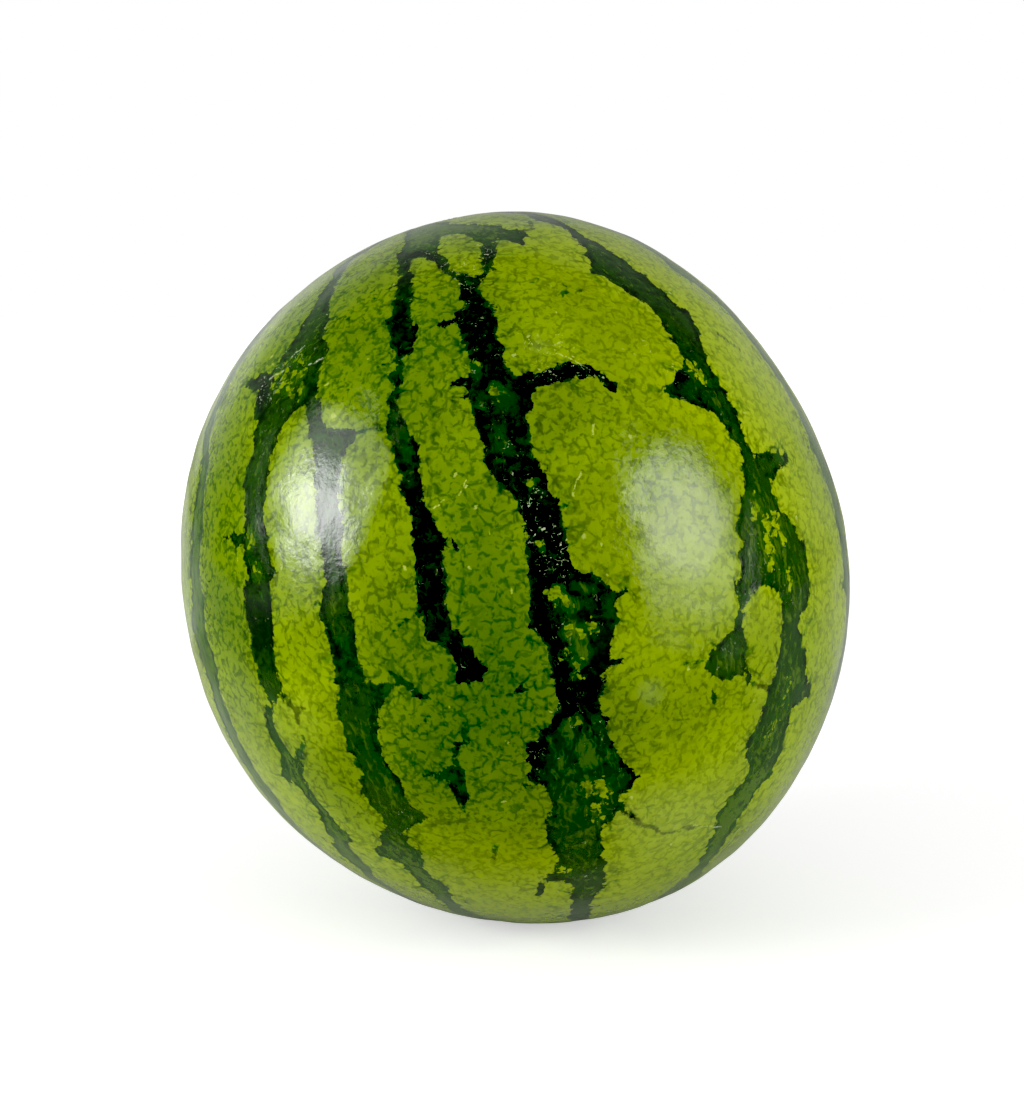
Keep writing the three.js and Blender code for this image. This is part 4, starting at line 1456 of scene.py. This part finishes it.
tilt = math.radians(CAMERA_ELEVATION)
towards_camera = Vector((0, -math.cos(tilt), math.sin(tilt)))
camera_up = Vector((0, math.sin(tilt), math.cos(tilt)))
camera_data = bpy.data.cameras.new("camera")
camera_data.lens = LENS
camera_data.sensor_width = SENSOR
camera_data.clip_end = SIGHT
camera = bpy.data.objects.new("camera", camera_data)
bpy.context.scene.collection.objects.link(camera)
aim = Vector(fruit_middle) + Vector((-AIM_LEFT, 0, 0)) + AIM_UP * camera_up
camera.location = aim + CAMERA_DISTANCE * towards_camera
camera.rotation_euler = (math.radians(90 - CAMERA_ELEVATION), 0, 0)
bpy.context.scene.camera = camera
print("the camera stands at", [round(value, 3) for value in camera.location])

# %% [markdown]
# ## A pale floor
#
# The fruit stands on a plain pale floor, like a sweep of white paper. Lighting it until it shows as
# white would spill too much light on the fruit, so it glows a little for the camera alone. Its shine
# in the wax would hide the dark stripes. In a studio a dark flag is laid on the paper, so one lies in
# front of the fruit here and a weaker one to its left, and only glossy rays see them.

# %% The floor
SQUARE = np.array([(-1, -1, 0), (1, -1, 0), (1, 1, 0), (-1, 1, 0)])
ONE_FACE = np.array([(0, 1, 2, 3)])
FLOOR_REACH = 40.0
FLOOR_GAP = 0.05 * MM  # it lies this much under the fruit, so that the two don't flicker
PAPER_PALENESS, PAPER_ROUGHNESS = 0.72, 0.9
FLAG = 0.65  # how much of the floor's shine in the wax the flag keeps off
FLAG_START, FLAG_FULL = 0.0, -0.10  # metres, where minus is in front of the fruit's middle
FLAG_NEAR, FLAG_FAR = 0.11, 0.18  # metres from that middle, all round
FLAG_MIDDLE, FLAG_SIDE = 0.06, 0.14  # metres to the left or right of it
LEFT_FLAG = 0.4
LEFT_FLAG_START, LEFT_FLAG_FULL = -0.16, -0.30  # metres, where minus is to the left
LEFT_FLAG_END, LEFT_FLAG_FADE = 0.45, 0.25  # metres behind
GLOW_FROM, GLOW_TO = 0.2, 1.2  # metres from the fruit
GLOW_NEAR, GLOW_FAR = 0.5, 0.9

floor = new_mesh("floor", SQUARE * FLOOR_REACH - (0, 0, FLOOR_GAP), ONE_FACE)
paper = bpy.data.materials.new("pale_floor")
new_tree(paper)
on_floor = node("TexCoord", {}, output=3)
from_fruit = node("VectorMath", {0: on_floor}, output=1, operation="LENGTH")
split = node("SeparateXYZ", {0: on_floor}).node
across, behind = split.outputs[0], split.outputs[1]
in_picture = node("LightPath", {}, output=0)
in_wax = in_picture.node.outputs["Is Glossy Ray"]

flag = ramp(behind, FLAG_START, FLAG_FULL, 0.0, FLAG)
flag = calc("MULTIPLY", flag, ramp(from_fruit, FLAG_NEAR, FLAG_FAR))
flag = calc("MULTIPLY", flag, ramp(calc("ABSOLUTE", across), FLAG_SIDE, FLAG_MIDDLE))
left_flag = ramp(across, LEFT_FLAG_START, LEFT_FLAG_FULL, 0.0, LEFT_FLAG)
left_flag = calc("MULTIPLY", left_flag, ramp(behind, LEFT_FLAG_END, LEFT_FLAG_FADE))
flagged = calc("MULTIPLY", in_wax, calc("MAXIMUM", flag, left_flag))
paleness = calc("MULTIPLY_ADD", flagged, -PAPER_PALENESS, PAPER_PALENESS)
glow = ramp(from_fruit, GLOW_FROM, GLOW_TO, GLOW_NEAR, GLOW_FAR)
end_tree(node("BsdfPrincipled", {
    "Base Color": node("CombineColor", {0: paleness, 1: paleness, 2: paleness}),
    "Roughness": PAPER_ROUGHNESS,
    "Emission Color": (1, 1, 1, 1),
    "Emission Strength": calc("MULTIPLY", glow, in_picture),
}))
paper.cycles.emission_sampling = "NONE"
floor.data.materials.append(paper)
print("the floor is", 2 * FLOOR_REACH, "m wide")

# %% [markdown]
# ## Soft boxes
#
# One soft box stands on each side, a little in front, and leaves its patch of light on the wax. The
# cloth of a real one is brighter in its middle, over the bulb. One even light would leave a patch as
# flat as a sticker, so each box is two ovals here: a wide dim one and a small bright one before it.

# %% Two boxes and their bulbs
def face_fruit(thing, direction, distance, roll=0.0):
    """Stands a thing at a distance from the fruit's middle, facing it, and turned about that line
    by its roll in degrees."""
    towards = Vector(direction).normalized()
    thing.location = Vector(fruit_middle) + distance * towards
    rolled = Matrix.Rotation(math.radians(roll), 3, "Z")
    thing.rotation_euler = (towards.to_track_quat("Z", "Y").to_matrix() @ rolled).to_euler()


def soft_box(name, direction, distance, width, height, radiance, roll=0.0):
    """An oval light that faces the fruit. Its power is radiance x pi x the area of its oval."""
    data = bpy.data.lights.new(name, "AREA")
    data.shape = "ELLIPSE"
    data.size = width
    data.size_y = height
    data.energy = radiance * math.pi * width * height * math.pi / 4
    made = bpy.data.objects.new(name, data)
    bpy.context.scene.collection.objects.link(made)
    face_fruit(made, direction, distance, roll)
    made.visible_camera = False


soft_box("left_bulb", (-0.902, -0.370, 0.235), 1.2, 0.49, 0.47, 13.0)
soft_box("left_box", (-0.902, -0.360, 0.34), 1.3, 0.92, 1.04, 2.6, roll=-24)
soft_box("right_bulb", (0.775, -0.545, 0.30), 1.2, 0.58, 0.60, 3.8)
soft_box("right_box", (0.829, -0.502, 0.22), 1.3, 0.98, 1.0, 2.9)
print("two soft boxes and their bulbs light the fruit")

# %% [markdown]
# ## Cards that only the wax sees
#
# Waxy skin turns grey and hazy along its rim, where it mirrors what stands far round the side. Two
# cards on the left, behind the fruit, make that haze. As lamps they would wash out the side too, so
# they are glowing squares that only glossy rays see.

# %% The cards
def gloss_card(name, direction, distance, half_width, half_height, radiance):
    """A glowing card that faces the fruit and that only glossy rays see."""
    card = new_mesh(name, SQUARE * (half_width, half_height, 1), ONE_FACE)
    face_fruit(card, direction, distance)
    card.visible_camera = False
    card.visible_diffuse = False
    card.visible_shadow = False
    shine = bpy.data.materials.new(name + "_glow")
    new_tree(shine)
    end_tree(node("Emission", {"Color": (1, 1, 1, 1), "Strength": radiance}))
    shine.cycles.emission_sampling = "NONE"
    card.data.materials.append(shine)


gloss_card("grey_card", (-0.89, 0.45, -0.05), 1.1, 0.34, 0.22, 0.38)
gloss_card("pale_card", (-0.69, 0.715, -0.12), 0.378, 0.10, 0.05, 0.72)
print("two cards stand behind on the left")

# %% [markdown]
# ## A pale room
#
# What stands all round the fruit fills its shadows. Walls could be built, but a world of one pale
# grey does the same, a little brighter behind on the left. The camera sees it as white, so that it
# goes on from the floor without a seam.

# %% The room
ROOM, LEFT_BEHIND = 0.5, 0.42  # brightness, and how much is added low down behind on the left
LEFT_FROM, LEFT_TO = -0.1, -0.4  # parts of the direction, which is one long
BACK_FROM, BACK_TO = 0.6, 0.9
HIGH, LOW = 0.7, 0.3

world = bpy.data.worlds.new("pale_room")
bpy.context.scene.world = world
new_tree(world)
way = node("SeparateXYZ", {0: node("TexCoord", {}, output=0)}).node
to_left = ramp(way.outputs[0], LEFT_FROM, LEFT_TO, 0.0, LEFT_BEHIND)
to_back = ramp(way.outputs[1], BACK_FROM, BACK_TO)
to_back = calc("MULTIPLY", to_back, ramp(way.outputs[2], HIGH, LOW))
room = calc("MULTIPLY_ADD", to_left, to_back, ROOM)
in_view = node("LightPath", {}, output=0)
strength = node("Mix", {0: in_view, 2: room, 3: 1.0}, output=0)
end_tree(node("Background", {"Color": (1, 1, 1, 1), "Strength": strength}), "OutputWorld")
print("the room has a brightness of", ROOM)

# %% [markdown]
# ## Developing the picture
#
# A studio picture is developed with a black point: the faint grey that the pale room lays over
# the darkest skin is taken off again, which also makes the greens fuller. Making the room darker
# instead would take the soft light off the whole fruit.

# %% A plain transform with a black point
BLACK_POINT = 0.045
view = bpy.context.scene.view_settings
view.view_transform = "Standard"
view.use_curve_mapping = True
view.curve_mapping.black_level = (BLACK_POINT, BLACK_POINT, BLACK_POINT)
view.curve_mapping.update()
print("black point at", BLACK_POINT)
